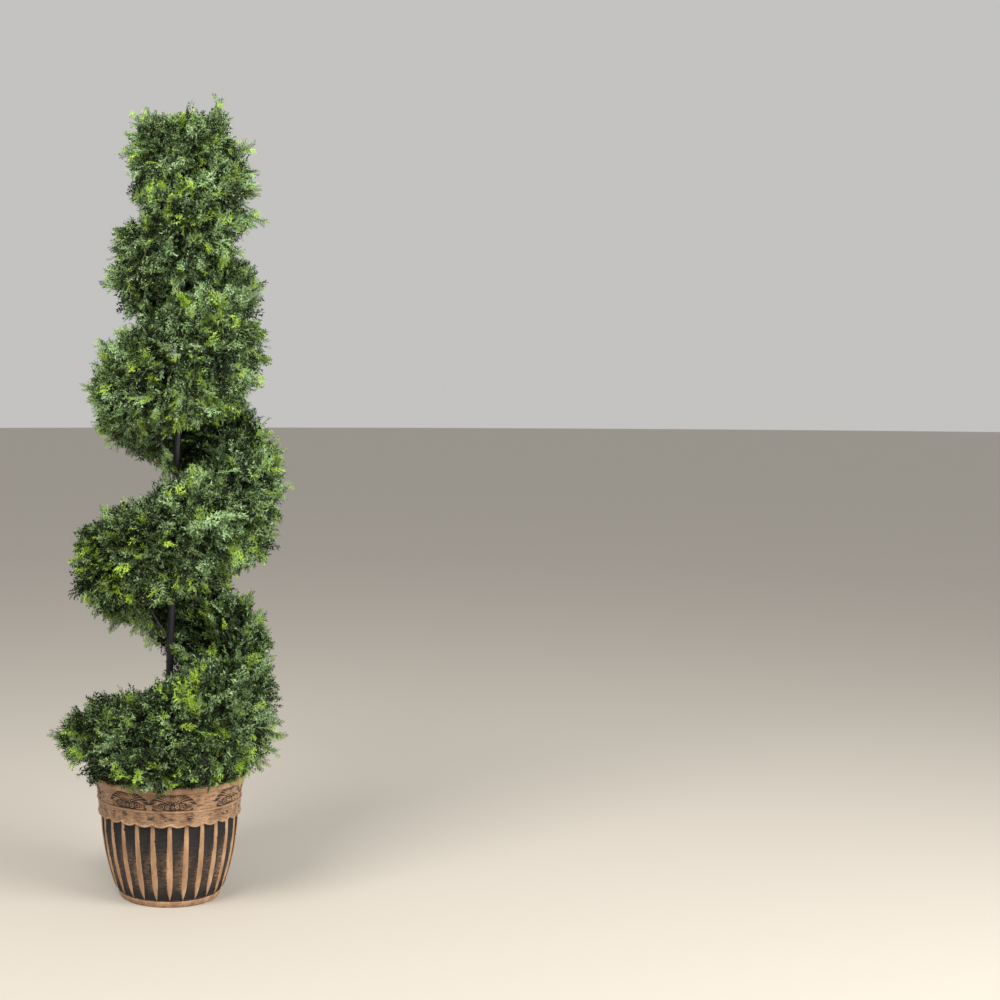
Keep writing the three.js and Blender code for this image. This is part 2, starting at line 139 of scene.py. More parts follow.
LARGE_LENGTHS = (56.0, 78.0)  # of the fans that lie flat on the skin
LARGE_LEANS = (42.0, 70.0)  # in degrees from straight out
LARGE_SHARE = 0.24
LONG_FAN = 50.0  # the length from which a fan has more branchlets
SKIN_POWER = 2.35  # of the sprays' outline, which is rounder than the masses
SKIN_SHARE = 0.905  # where most sprays end on the way from the heart to the masses' skin
# How much that place varies, in the same shares
UNEVENNESS = 0.03
LOWEST_TOP_TRIM = 0.1
SEAM_GROWTH = 0.17
SEAM_SIDE_GROWTH = 0.05
WISP = 0.02
WISPS = (0.03, 0.1)  # of a few that stand out further
WISP_SHARE = 0.03  # of the sprays
PROUD = 0.05  # how far past its limit a spray is shortened
TOO_PROUD = 0.12  # and how far past it is left out
SHORTENED = 0.75  # of its length
# Painted light and shade: how much lighter the foliage is by quarter turns, in steps of its greens
PAINTED_LIGHT_BY_QUARTER_TURN = np.array([-0.7, 0, -1.3, -0.2, 0, 0, -0.8, -0.2, 0.1, 0.1, 1.4, -0.4, 0.8, 0, 1.2, -1.0,
                  0.5, 0, 0.3, -0.3, -0.2])
# What the sprays add to the band at its outer side by half turns, as a share of its section
TRIMS = np.array([0.06, 0, 0.02, 0, 0, -0.12, -0.09, -0.15, -0.06, -0.14, -0.08])
LOWEST_LEAF = 178.5
LOWEST_LEAF_SPREAD = (-2, 7)
SPRAY_VARIANTS = 12
LEAFLET_FOOT = 0.8  # of a leaflet's step along its branchlet
SHORTEST_BRANCHLET = 0.13  # of its fan's length
INNER_SHARE = 0.45  # inner sprays for each outer one
INNER_LENGTHS = (44.0, 66.0)
TO_POLE_SHARE = 0.4  # of the inner sprays, on the pole's side
TO_POLE_LENGTH = 40.0
TO_SEAM_SHARE = 0.5  # towards the seams of the closed part
COVER_SHARE = 0.04  # along the strut
COVER_LENGTHS = (22.0, 34.0)
UNTIPPED = 2.0  # a start of the tip's colour past the spray's end
CLUSTER_SPREAD = 0.85  # of the greens' steps from cluster to cluster
SPRAY_SPREAD = 1.05  # and from spray to spray
MIDDLE_SHADE = 1.95  # of the greens in the order of their materials
LIGHTEST_SHADE = 3.45
LONG_SHADE = 0.4  # how much darker long sprays are
BURIED_PAINTED_SHADE = 1.4  # painted shade: how much darker the deepest sprays are coloured
BURIED_FROM = 8.0  # depths under the skin from which, and over which, sprays darken as painted shade
BURIED_OVER = 18.0
MOST_BURIED = 1.3
WHOLE_FRESH = 0.06  # share of the tipped sprays that have the tip's colour all over
WHOLE_OLIVE = 0.05
MOVED_BY_SHARE = 60.0  # millimetres inwards for a whole share past the limit
MOST_MOVED = 34.0
MOST_RAISED = 40.0
HALF_SPREAD = 0.3  # of a fan's width, by its length
POLE_ROOM = 3.0
LIMB_RADII = (1.3, 1.0, 0.8)
STEM_RADII = (0.75, 0.5)
TWIG_SIDES = 3
WIRE_SIDES = 8
GOLDEN = math.pi * (3 - math.sqrt(5))
PLASTIC = 1.324717957244746


def mix(a, b, t):
    return a + (b - a) * t


def smooth(x, low, high):
    t = np.clip((np.asarray(x, float) - low) / (high - low), 0, 1)
    return t * t * (3 - 2 * t)


def unit(vectors):
    return vectors / np.maximum(1e-9, np.linalg.norm(vectors, axis=-1, keepdims=True))


# The spiral's rule, for arrays of angles


def half_turns(angle):
    return 2 * angle / TURN


def between(values, half_turn):
    i = np.clip(np.floor(half_turn), 0, LAST - 1).astype(int)
    f = half_turn - i
    a, b, c, d = (values[np.clip(i + k, 0, LAST)] for k in (-1, 0, 1, 2))
    cubic = 2 * a - 5 * b + 4 * c - d + f * (3 * (b - c) + d - a)
    return b + 0.5 * f * (c - a + f * cubic)


def climbed(half_turn):
    i = np.floor(half_turn)
    early = i + 1 - (1 - (half_turn - i)) ** CLIMB
    return np.where(i % 2 == 1, half_turn, early)


def band(angle):
    n = half_turns(angle)
    height = between(HEIGHTS, climbed(n))
    half = between(HALVES, n)
    on_pot = 1 - smooth(n, *OFF_POT)
    on_rim = height - (height - POT_HEIGHT - 2) / LOW_CORE
    underside = np.maximum(on_rim, mix(height - half * SAG, on_rim, on_pot))
    return height, height + half * (2 - SAG), underside


def seam_height(angle):
    _, top, _ = band(angle)
    _, _, above = band(np.minimum(angle + TURN, END))
    return np.where(angle + TURN > END + 1e-6, top + TOP_ROOM, (top + above) / 2)


def section(angle):
    n = half_turns(angle)
    height, top, underside = band(angle)
    reach = between(REACHES, n)
    inner = mix(POLE_RADIUS + INNER_CLEARANCE, CROWN_HOLE, smooth(n, *CROWNED))
    above = np.minimum(top, seam_height(angle) - 1) - height
    low_seam = seam_height(np.maximum(angle - TURN, 0)) + 1
    floor = np.where(angle >= TURN - 1e-6, low_seam, underside)
    return height, inner, reach, above, height - np.maximum(underside, floor)


def core_share(angle):
    n = half_turns(angle)
    rounding = 1 - END_NARROWING * np.maximum(0, (n - LAST + ROUNDED) / ROUNDED) ** 2
    return mix(LOW_CORE, HIGH_CORE, smooth(n, LAST / 2, LAST - 2)) * rounding


def pole_middle(height):
    height = np.asarray(height, float)
    x = POLE_OFFSET + (height - POT_HEIGHT) * math.tan(LEAN)
    return np.stack([x, np.zeros_like(height), height], -1)


def around_pole(angle, distance, height):
    point = pole_middle(height)
    point[..., 0] += distance * np.cos(angle)
    point[..., 1] += distance * np.sin(angle)
    return point


def band_point(angle, way, share):
    height, inner, reach, above, below = section(angle)
    c, d = np.cos(way), np.sin(way)
    r = (np.abs(c) ** SECTION_POWER + np.abs(d) ** SECTION_POWER) ** (-1 / SECTION_POWER)
    distance = (inner + reach) / 2 + share * (reach - inner) / 2 * r * c
    tall = np.where(d > 0, above, below)
    return around_pole(angle, distance, height + share * tall * r * d)


# Where points lie in the band near an angle: their angle, distance from the pole, and share
# of the section, which is 1 on the band's skin.
def place_in_band(points, near):
    middle = pole_middle(points[..., 2])
    away = points[..., :2] - middle[..., :2]
    angle = np.arctan2(away[..., 1], away[..., 0])
    angle = angle + np.round((near - angle) / TURN) * TURN
    distance = np.linalg.norm(away, axis=-1)
    height, inner, reach, above, below = section(np.clip(angle, 0, END))
    wide = (distance - (inner + reach) / 2) / ((reach - inner) / 2)
    rise = points[..., 2] - height
    tall = rise / np.where(rise > 0, above, below)
    share = np.abs(wide) ** SKIN_POWER + np.abs(tall) ** SKIN_POWER
    return angle, distance, share ** (1 / SKIN_POWER)


def even_points(count):
    k = np.arange(count)
    return (0.5 + k / PLASTIC) % 1, (0.5 + k / PLASTIC**2) % 1


def mass_span(index):
    return index / MASSES * END, (index + 1) / MASSES * END


def in_pot(points):
    radius = np.hypot(points[..., 0], points[..., 1])
    return (points[..., 2] < POT_HEIGHT + 1) & (radius < LIP_RADIUS + 1)


# Meshes


def linear(code):
    channels = np.array([int(code[i : i + 2], 16) / 255 for i in (0, 2, 4)])
    high = ((channels + 0.055) / 1.055) ** 2.4
    return tuple(np.where(channels <= 0.04045, channels / 12.92, high))


def new_object(name, data):
    made = bpy.data.objects.new(name, data)
    bpy.context.scene.collection.objects.link(made)
    return made


# A mesh object of points in millimetres and faces that all have the same number of corners.
def mesh_object(name, points, faces, materials, indices=None, shaded_smooth=False):
    mesh = bpy.data.meshes.new(name)
    mesh.vertices.add(len(points))
    mesh.vertices.foreach_set("co", (points * MM).astype(np.float32).ravel())
    corners = faces.shape[1]
    mesh.loops.add(faces.size)
    mesh.loops.foreach_set("vertex_index", faces.astype(np.int32).ravel())
    mesh.polygons.add(len(faces))
    starts = (np.arange(len(faces)) * corners).astype(np.int32)
    mesh.polygons.foreach_set("loop_start", starts)
    if indices is not None:
        mesh.polygons.foreach_set("material_index", indices.astype(np.int32).ravel())
    mesh.polygons.foreach_set("use_smooth", np.full(len(faces), shaded_smooth))
    mesh.update(calc_edges=True)
    for material in materials:
        mesh.materials.append(material)
    return new_object(name, mesh)


def polar(radius, turn, height):
    return np.stack(np.broadcast_arrays(radius * np.cos(turn), radius * np.sin(turn), height), -1)


# Triangles between rings of points that are numbered one after another. Where they are looped,
# the last ring meets the first.
def wall_faces(rings, around, looped=False):
    s, j = np.meshgrid(np.arange(rings if looped else rings - 1), np.arange(around), indexing="ij")
    after = (j + 1) % around
    here, following = s * around, (s + 1) % rings * around
    a, b = (here + j).ravel(), (here + after).ravel()
    c, d = (following + after).ravel(), (following + j).ravel()
    return np.concatenate([np.stack([a, b, c], 1), np.stack([a, c, d], 1)])


# Points and faces of many tubes at once. lines is tubes x points x 3.
def tube_parts(lines, radii, sides):
    count, stations = lines.shape[:2]
    along = unit(np.gradient(lines, axis=1))
    side = unit(np.cross(along, np.array([0.31, 0.17, 0.93])))
    up = np.cross(along, side)
    turn = np.arange(sides) / sides * TURN
    ring = side[:, :, None] * np.cos(turn)[:, None] + up[:, :, None] * np.sin(turn)[:, None]
    points = lines[:, :, None] + ring * np.broadcast_to(radii, (count, stations))[:, :, None, None]
    cap = np.array([[0, j, j + 1] for j in range(1, sides - 1)])
    far_cap = cap + (stations - 1) * sides
    one = np.concatenate([wall_faces(stations, sides), cap[:, [0, 2, 1]], far_cap])
    faces = one[None] + (np.arange(count) * stations * sides)[:, None, None]
    return points.reshape(-1, 3), faces.reshape(-1, 3)


def joined(parts):
    points, faces, first = [], [], 0
    for some_points, some_faces in parts:
        points.append(some_points)
        faces.append(some_faces + first)
        first += len(some_points)
    return np.concatenate(points), np.concatenate(faces)


# Materials


def plain_material(name, code, roughness, specular=0.4):
    material = bpy.data.materials.new(name)
    material.use_nodes = True
    shader = material.node_tree.nodes["Principled BSDF"]
    shader.inputs["Base Color"].default_value = (*linear(code), 1)
    shader.inputs["Roughness"].default_value = roughness
    shader.inputs["Specular IOR Level"].default_value = specular
    return material


# A new material, with helpers that add nodes to its tree.
class Nodes:
    def __init__(self, *finish):
        self.material = plain_material(*finish)
        self.tree = self.material.node_tree
        self.shader = self.tree.nodes["Principled BSDF"]
        self.place = self.new("TexCoord").outputs["Object"]

    def new(self, kind):
        return self.tree.nodes.new("ShaderNode" + kind)

    # Sets a node's inputs to values, or links them to other nodes' outputs. Returns its outputs.
    def feed(self, node, inputs):
        for key, value in inputs.items():
            if isinstance(value, bpy.types.NodeSocket):
                self.tree.links.new(value, node.inputs[key])
            else:
                node.inputs[key].default_value = value
        return node.outputs

    def noise(self, scale, detail=3.0, roughness=0.6, stretch=(1, 1, 1)):
        place = self.feed(self.new("Mapping"), {"Scale": stretch, "Vector": self.place})["Vector"]
        inputs = {"Scale": scale, "Detail": detail, "Roughness": roughness, "Vector": place}
        return self.feed(self.new("TexNoise"), inputs)["Fac"]

    def ramp(self, value, *stops):
        node = self.new("ValToRGB")
        elements = node.color_ramp.elements
        while len(elements) < len(stops):
            elements.new(0.5)
        for element, (position, code) in zip(elements, stops):
            element.position = position
            element.color = (*linear(code), 1)
        return self.feed(node, {"Fac": value})["Color"]

    def operation(self, name):
        def maths(first, second, clamp=False):
            node = self.new("Math")
            node.operation = name
            node.use_clamp = clamp
            return self.feed(node, {0: first, 1: second})["Value"]

        return maths

    def attribute(self, name):
        node = self.new("Attribute")
        node.attribute_name = name
        return node.outputs["Fac"]

    def blend(self, share, first, second):
        node = self.new("Mix")
        node.data_type = "RGBA"
        return self.feed(node, {"Factor": share, "A": first, "B": second})["Result"]

    def bump(self, height, distance, strength=1.0):
        inputs = {"Height": height, "Distance": distance, "Strength": strength}
        self.finish({"Normal": self.feed(self.new("Bump"), inputs)["Normal"]})

    def finish(self, inputs):
        self.feed(self.shader, inputs)


PAINT_MEASURES = ("copper_cover", "copper_haze", "soot_and_shade")


# Copper paint dry-brushed over dark plastic. The mesh says how much copper a place has, how
# hazy it lies in the hollows and where smudges and painted shade dull it, and noise breaks all three
# up.
def pot_material():
    nodes = Nodes("pot_copper_paint", "c0926a", 0.5, 0.35)
    times, plus, minus = (nodes.operation(name) for name in ("MULTIPLY", "ADD", "SUBTRACT"))
    cover, haze, soot_and_shade = (nodes.attribute(name) for name in PAINT_MEASURES)
    fleck = nodes.noise(680, 4, 0.65, (1, 1, 0.4))
    cloud = nodes.noise(70, 3, 0.6, (1, 1, 0.35))
    grain = nodes.noise(1500, 3, 0.6)
    stroke = nodes.noise(520, 4, 0.6, (0.22, 0.22, 1.5))
    rough = plus(times(fleck, 0.75), times(cloud, 0.55))
    raised = plus(cover, minus(rough, 0.65))
    share = plus(times(minus(raised, 0.5), 5.0), 0.5, True)
    copper = nodes.ramp(cloud, (0.3, "906e54"), (0.5, "a98463"), (0.72, "c4a080"))
    dark = nodes.ramp(fleck, (0.3, "080b10"), (0.7, "14191f"))
    painted = nodes.blend(share, dark, copper)
    streak = plus(times(minus(stroke, 0.42), 3.2), times(minus(grain, 0.42), 2.2), True)
    dust = nodes.ramp(fleck, (0.3, "6e5545"), (0.7, "a98669"))
    dusted = nodes.blend(times(haze, streak, True), dark, dust)
    hazed = nodes.blend(share, dusted, painted)
    # Smudges, and painted shade in the band's creases, dull the paint towards brown.
    brown = nodes.ramp(cloud, (0.3, "2f2724"), (0.7, "4a3a32"))
    dulling = times(soot_and_shade, plus(times(minus(stroke, 0.41), 6.0), times(grain, 0.3)), True)
    colour = nodes.blend(dulling, hazed, brown)
    nodes.finish({"Base Color": colour, "Roughness": minus(0.6, times(share, 0.14))})
    nodes.bump(plus(fleck, times(share, 0.5)), 0.0003, 0.8)
    return nodes.material


def cement_material():
    nodes = Nodes("cement", "77706a", 0.95)
    grain = nodes.noise(420, 5, 0.7)
    stain = nodes.noise(38, 3)
    times, plus = nodes.operation("MULTIPLY"), nodes.operation("ADD")
    tone = plus(times(grain, 0.5), times(stain, 0.5))
    colour = nodes.ramp(tone, (0.3, "5d5853"), (0.5, "79736c"), (0.7, "8f8981"))
    nodes.finish({"Base Color": colour})
    nodes.bump(grain, 0.0012)
    return nodes.material


def coated_metal(name, low, high, roughness):
    nodes = Nodes(name, low, roughness, 0.5)
    streak = nodes.noise(300, 4, 0.6, (1, 1, 0.06))
    nodes.finish({"Base Color": nodes.ramp(streak, (0.3, low), (0.7, high))})
    nodes.bump(streak, 0.0002)
    return nodes.material


# Each green's name, colour, roughness and specular level. All but the last three are in order
# of their lightness. The first, near black, is painted shade for the foliage's depths and gaps.
LEAF_FINISHES = [
    ("leaf_painted_shade", "161e11", 0.7, 0.2),
    ("leaf_dark", "4c633b", 0.6, 0.3),
    ("leaf_green", "7d9a5b", 0.55, 0.35),
    ("leaf_blue", "8eac7c", 0.5, 0.4),
    ("leaf_pale", "9ebc8a", 0.48, 0.4),
    ("leaf_olive", "7d9a3c", 0.55, 0.35),
    ("leaf_tip", "a0c43c", 0.52, 0.35),
    ("leaf_fresh", "b8da50", 0.5, 0.35),
]
GREENS = [plain_material(*finish) for finish in LEAF_FINISHES]
PAINTED_SHADE_GREEN, DARK, GREEN, BLUE, PALE, OLIVE, TIP, FRESH = range(len(GREENS))
twig_finish = plain_material("twig_olive", "54603a", 0.6, 0.35)
wire_finish = coated_metal("wire_black", "17171b", "26262b", 0.5)
pole_finish = coated_metal("pole_black", "0d0c12", "1f1d27", 0.36)


# Sprays: flat cypress fans


# A fan of unit length, along x with its width along y: points, triangles, each triangle's
# place along the fan and the branchlet it belongs to.
def spray_template(rng, branchlets, teeth, fatness):
    points = [(0, -0.012, 0), (0, 0.012, 0), (0.55, -0.009, 0), (0.55, 0.009, 0), (1.0, 0, 0)]
    faces = [(0, 2, 1), (1, 2, 3), (2, 4, 3)]
    places = [0.1, 0.1, 0.6]
    owners = [0, 0, 0]
    fullness = rng.uniform(0.3, 0.4)
    widest = rng.uniform(0.7, 1.05)
    for k in range(branchlets):
        at = mix(0.08, 0.94, (k + rng.uniform(-0.3, 0.3)) / (branchlets - 1))
        at = min(0.97, max(0.03, at))
        side = 1 if k % 2 else -1
        length = fullness * math.sin(math.pi * at**widest) ** 0.55 * rng.uniform(0.78, 1.18)
        length = max(SHORTEST_BRANCHLET, length)
        angle = side * math.radians(mix(60, 26, at) + rng.uniform(-10, 10))
        tilt = (rng.uniform(-0.35, 0.4), rng.uniform(-0.6, 0.6))
        points_here, faces_here = branchlet((at, 0.0), angle, length, tilt, teeth, fatness, rng)
        faces += [tuple(len(points) + i for i in face) for face in faces_here]
        places += [at] * len(faces_here)
        owners += [k + 1] * len(faces_here)
        points += points_here
    return np.array(points), np.array(faces), np.array(places), np.array(owners)


# One toothed branchlet of a fan: pairs of narrow leaflets on a midline and a pointed end.
# tilt is its rise along the midline and its roll about it.
def branchlet(start, angle, length, tilt, teeth, fatness, rng):
    curl = -math.copysign(0.25, angle)
    c, s = math.cos(angle), math.sin(angle)

    def at(along, across, rise=0.0):
        bent = across + curl * along * along * 0.5
        x = start[0] + length * (along * c - bent * s)
        y = start[1] + length * (along * s + bent * c)
        return (x, y, length * (tilt[0] * along + tilt[1] * across + rise))

    step = 0.8 / teeth
    points = [at(0, -0.04), at(0, 0.04), at(1.04, 0)]
    faces = [(0, 2, 1)]
    for k in range(teeth):
        for side in (1, -1):
            foot = (k + rng.uniform(0.1, 0.4)) * step
            along = foot + rng.uniform(0.85, 1.3) * step
            across = side * fatness * mix(0.25, 0.14, k / teeth) * rng.uniform(0.75, 1.25)
            first = len(points)
            rise = rng.uniform(-0.12, 0.16)
            points += [at(foot, 0), at(foot + LEAFLET_FOOT * fatness * step, 0)]
            points.append(at(along, across, rise))
            others = (first + 1, first + 2)
            faces.append((first, *others[::side]))
    return points, faces


template_rng = np.random.default_rng(SEED)


def fans(branchlets, teeth, fatness):
    return [spray_template(template_rng, branchlets, teeth, fatness) for _ in range(SPRAY_VARIANTS)]


# The first half of each list is for short sprays, and the second for long ones.
SHOWN_FANS = fans(13, 3, 1.02) + fans(15, 4, 1.0)
HIDDEN_FANS = 2 * fans(9, 3, 1.1)


# Points, faces and colours of many sprays
def spray_parts(sprays, templates, rng):
    points, faces, colours, first = [], [], [], 0
    count = len(sprays["root"])
    variant = rng.integers(0, SPRAY_VARIANTS, count)
    variant += SPRAY_VARIANTS * (sprays["length"] > LONG_FAN)
    bend = rng.normal(-0.16, 0.16, count)
    cup = rng.uniform(-0.9, 0.3, count)
    sway = rng.normal(0, 0.13, count)
    wide = rng.uniform(0.85, 1.2, count) * np.where(rng.random(count) < 0.5, -1, 1)
    across = np.cross(sprays["normal"], sprays["along"])
    for v, (shape, triangles, places, owners) in enumerate(templates):
        own = np.flatnonzero(variant == v)
        if not len(own):
            continue
        one = {key: value[own, None] for key, value in sprays.items()}
        x = np.broadcast_to(shape[:, 0], (len(own), len(shape)))
        y = shape[:, 1] * wide[own, None]
        z = shape[:, 2] + bend[own, None] * x * x + cup[own, None] * y * y
        y = y + sway[own, None] * x * x
        axes = (one["along"], across[own, None], one["normal"])
        local = sum(part[..., None] * axis for part, axis in zip((x, y, z), axes))
        placed = one["root"] + local * one["length"][..., None]
        points.append(placed.reshape(-1, 3))
        shifted = triangles[None] + (np.arange(len(own)) * len(shape))[:, None, None] + first
        faces.append(shifted.reshape(-1, 3))
        first += len(own) * len(shape)
        # Painted highlights and painted shade: branchlets and leaflets are stepped lighter and darker
        # at random, for lit leaflets and the gaps between them.
        branchlet_light_and_shade = rng.random((len(own), owners.max() + 1))[:, owners]
        leaflet = rng.random((len(own), len(places)))
        body = one["body"] + (branchlet_light_and_shade < 0.2) - (branchlet_light_and_shade > 0.86) + (leaflet < 0.24) + (leaflet < 0.08)
        body = np.clip(body - (leaflet > 0.68) - (leaflet > 0.86), PAINTED_SHADE_GREEN, PALE)
        body = np.where(one["body"] > PALE, OLIVE, body)
        tip = np.clip(one["tip"] + (leaflet < 0.25) - (leaflet > 0.7), OLIVE, FRESH)
        colours.append(np.where(places > one["tip_from"], tip, body).ravel())
    return np.concatenate(points), np.concatenate(faces), np.concatenate(colours)


def sprays_object(name, outer, inner, rng):
    *shown, shown_colours = spray_parts(outer, SHOWN_FANS, rng)
    *hidden, hidden_colours = spray_parts(inner, HIDDEN_FANS, rng)
    colours = np.concatenate([shown_colours, hidden_colours])
    return mesh_object(name, *joined([shown, hidden]), GREENS, colours)


# The sprays that a mask or slice keeps.
def kept_sprays(sprays, keep):
    return {key: value[keep] for key, value in sprays.items()}


# Slow waves over the band's skin that make its outline uneven.
def unevenness(angle, way):
    waves = [(7.0, 1.0, 0.3), (11.0, 2.0, 1.9), (17.0, 3.0, 4.1), (5.0, 4.0, 2.2)]
    total = sum(np.sin(a * angle + p) * np.cos(b * way + 2 * p) for a, b, p in waves)
    return UNEVENNESS * total


# How far a place of the skin faces a seam between upper turns, which the sprays close up.
def facing_seam(angle, way):
    n = half_turns(angle)
    topmost = smooth(n, *TOPMOST) * (np.sin(way) > 0)
    return smooth(n, *CLOSED_UP) * (1 - topmost) * np.abs(np.sin(way))


# How much less or more of the band the sprays take up: by half turns at the outer side, less
# on top of the lowest turn, and more at the seams between upper turns.
def trimming(angle, way):
    n = half_turns(angle)
    side = between(TRIMS, n) * np.clip(np.cos(way) * 1.3, 0, 1)
    lowest = smooth(n, *LOWEST_START) * (1 - smooth(n, *LOWEST_END))
    lowest_top = lowest * np.clip(np.sin(way), 0, 1)
    growth = SEAM_GROWTH + SEAM_SIDE_GROWTH * np.abs(np.cos(way))
    return side - LOWEST_TOP_TRIM * lowest_top + facing_seam(angle, way) * growth


# A mass's clusters: their angles along the spiral and their ways round the band's section.
def cluster_places(start, end, rng):
    _, inner, reach, above, below = (float(v) for v in section((start + end) / 2))
    girth = math.pi * ((reach - inner) / 2 + (above + below) / 2)
    wanted = round(girth * (reach + inner) / 2 * (end - start) / CLUSTER_AREA)
    u, v = even_points(SPARE_PLACES * wanted)
    at = mix(start, end, u)
    way = (v - 0.5) * OUTER_SKIN
    _, inners, reaches, _, _ = section(at)
    centre = (inners + reaches) / 2
    distance = centre + (reaches - centre) * np.cos(way)
    kept = np.flatnonzero(rng.random(len(at)) < distance / reaches)[:wanted]
    return at[kept], way[kept]


# The band's skin and heart at each cluster, the direction out of it and its two tangents.
def cluster_frames(at, way):
    skin = band_point(at, way, 1.0)
    heart = band_point(at, way, 0.0)
    out = unit(skin - heart)
    ahead = unit(band_point(at + 0.01, way, 1.0) - band_point(at - 0.01, way, 1.0))
    up = unit(np.cross(out, ahead))
    return skin, heart, out, np.cross(up, out), up


# The colours of sprays by the mood of their cluster, their depth, darkened as painted shade, and
# the painted light and shade of their place: the body's, where the tip's begins, and the tip's.
def colours_of(cluster_of, depth, tone, rng):
    count = len(cluster_of)
    clusters = cluster_of.max() + 1
    mood = rng.random(clusters)
    shade = rng.normal(0, CLUSTER_SPREAD, clusters)[cluster_of] + rng.normal(0, SPRAY_SPREAD, count)
    shade = np.clip(shade + MIDDLE_SHADE + tone, PAINTED_SHADE_GREEN, LIGHTEST_SHADE)
    body = np.clip(np.round(shade - BURIED_PAINTED_SHADE * depth), PAINTED_SHADE_GREEN, PALE).astype(int)
    fresh = np.select([mood < 0.4, mood < 0.75], [0.08, 0.28], 0.6)[cluster_of]
    tipped = rng.random(count) < fresh * (1 - 0.7 * depth)
    whole = rng.random(count) < WHOLE_FRESH
    tip_from = np.where(whole, 0.0, rng.uniform(0.5, 0.85, count))
    tip_from = np.where(tipped, tip_from, UNTIPPED)
    tip = rng.choice([OLIVE, TIP, TIP], count)
    body = np.where(rng.random(count) < WHOLE_OLIVE, OLIVE, body)
    return body, tip_from, tip


# The share of the band's section that sprays reach at a length.
def share_at(root, along, length, near):
    return place_in_band(root + along * length[:, None], near)[2]


# Roots moved inwards and sprays shortened where they reach past their limit, and which of
# them then end near enough to it.
def limit_to_skin(root, along, length, out, near, limit):
    moved = np.zeros(len(root))
    for _ in range(4):
        past_limit = share_at(root, along, length, near) - limit
        step = np.clip(past_limit * MOVED_BY_SHARE, 0, np.maximum(0, MOST_MOVED - moved))
        root = root - out * step[:, None]
        moved += step
    proud = share_at(root, along, length, near) > limit + PROUD
    length = np.where(proud, SHORTENED * length, length)
    return root, length, share_at(root, along, length, near) < limit + TOO_PROUD


def rolled(normal, along, angle):
    side = np.cross(along, normal)
    return normal * np.cos(angle)[:, None] + side * np.sin(angle)[:, None]


# Sprays round clusters: each spray's cluster, direction, face, length, stem and cluster's root.
# Large ones lie along the skin, up or down it as drape says.
def spread_sprays(root, out, ahead, up, rng, widest, lift, drape=None):
    cluster = np.repeat(np.arange(len(root)), CLUSTER_SPRAYS)
    count = len(cluster)
    number = np.tile(np.arange(CLUSTER_SPRAYS), len(root))
    outermost = np.sqrt(number / (CLUSTER_SPRAYS - 1))
    lean = np.radians(mix(LEAST_LEAN, widest, outermost) + rng.normal(0, LEAN_SPREAD, count))
    turn = rng.random(len(root))[cluster] * TURN + number * GOLDEN
    large = rng.random(count) < LARGE_SHARE
    if drape is not None:
        laid = np.radians(rng.uniform(*LARGE_LEANS, count))
        lean = np.where(large, laid, lean)
        turn = np.where(large, drape[cluster] * TURN / 4 + rng.normal(0, 0.6, count), turn)
    sides = ahead[cluster] * np.cos(turn)[:, None] + up[cluster] * np.sin(turn)[:, None]
    along = out[cluster] * np.cos(lean)[:, None] + sides * np.sin(lean)[:, None]
    along[:, 2] += lift
    along = unit(along)
    normal = unit(out[cluster] - along * np.sum(out[cluster] * along, 1)[:, None] + 1e-4)
    normal = rolled(normal, along, rng.normal(0, np.radians(np.where(large, 16, 38))))
    length = mix(*SPRAY_LENGTHS, rng.random(count) ** 1.5)
    length = np.where(large, rng.uniform(*LARGE_LENGTHS, count), length)
    return cluster, along, normal, length, rng.uniform(*STEM_LENGTHS, count), root[cluster]


# Notches at the sides where the photo shows what is behind: middle in x and z, half sizes.
NOTCHES = [
    (126, 475, 38, 32), (-64, 1031, 32, 18), (-80, 1088, 24, 31), (-165, 184, 50, 34),
    (116, 1162, 36, 30), (126, 1047, 20, 15), (-128, 806, 25, 23), (-66, 1170, 20, 33),
    (-106, 1000, 24, 30), (-108, 957, 20, 14), (-93, 900, 27, 22), (-62, 868, 14, 10),
    (-131, 722, 20, 30), (-130, 428, 22, 13), (-120, 168, 30, 14), (158, 893, 26, 40),
    (-50, 612, 24, 10), (170, 350, 16, 18), (-88, 1150, 22, 16), (-148, 299, 34, 26),
    (184, 556, 18, 30), (110, 980, 24, 14),
]


NOTCH_PROBE = 0.85  # the place along a spray that may not lie in a notch


def in_notch(root, along, length):
    points = root + along * (NOTCH_PROBE * length)[:, None]
    inside = np.zeros(len(points), bool)
    for x, z, wide, tall in NOTCHES:
        inside |= ((points[:, 0] - x) / wide) ** 2 + ((points[:, 2] - z) / tall) ** 2 < 1
    return inside


# Sprays raised until their lowest corner ends over the pot's frieze.
def raised_over_pot(root, along, normal, length, rng):
    across = np.cross(normal, along)
    tip = root[:, 2] + along[:, 2] * length
    lowest = np.minimum(root[:, 2], tip) - HALF_SPREAD * length * np.abs(across[:, 2])
    wanted = LOWEST_LEAF + rng.uniform(*LOWEST_LEAF_SPREAD, len(root))
    raised = root.copy()
    raised[:, 2] += np.clip(wanted - lowest, 0, MOST_RAISED)
    return raised


def clear_sprays(root, along, length, near):
    steps = np.linspace(0, 1, 5)
    points = root[:, None] + along[:, None] * (length[:, None] * steps)[..., None]
    _, distance, _ = place_in_band(points, near[:, None])
    away = distance.min(1) > POLE_RADIUS + POLE_ROOM
    return away & ~in_pot(points[:, 1:]).any(1)


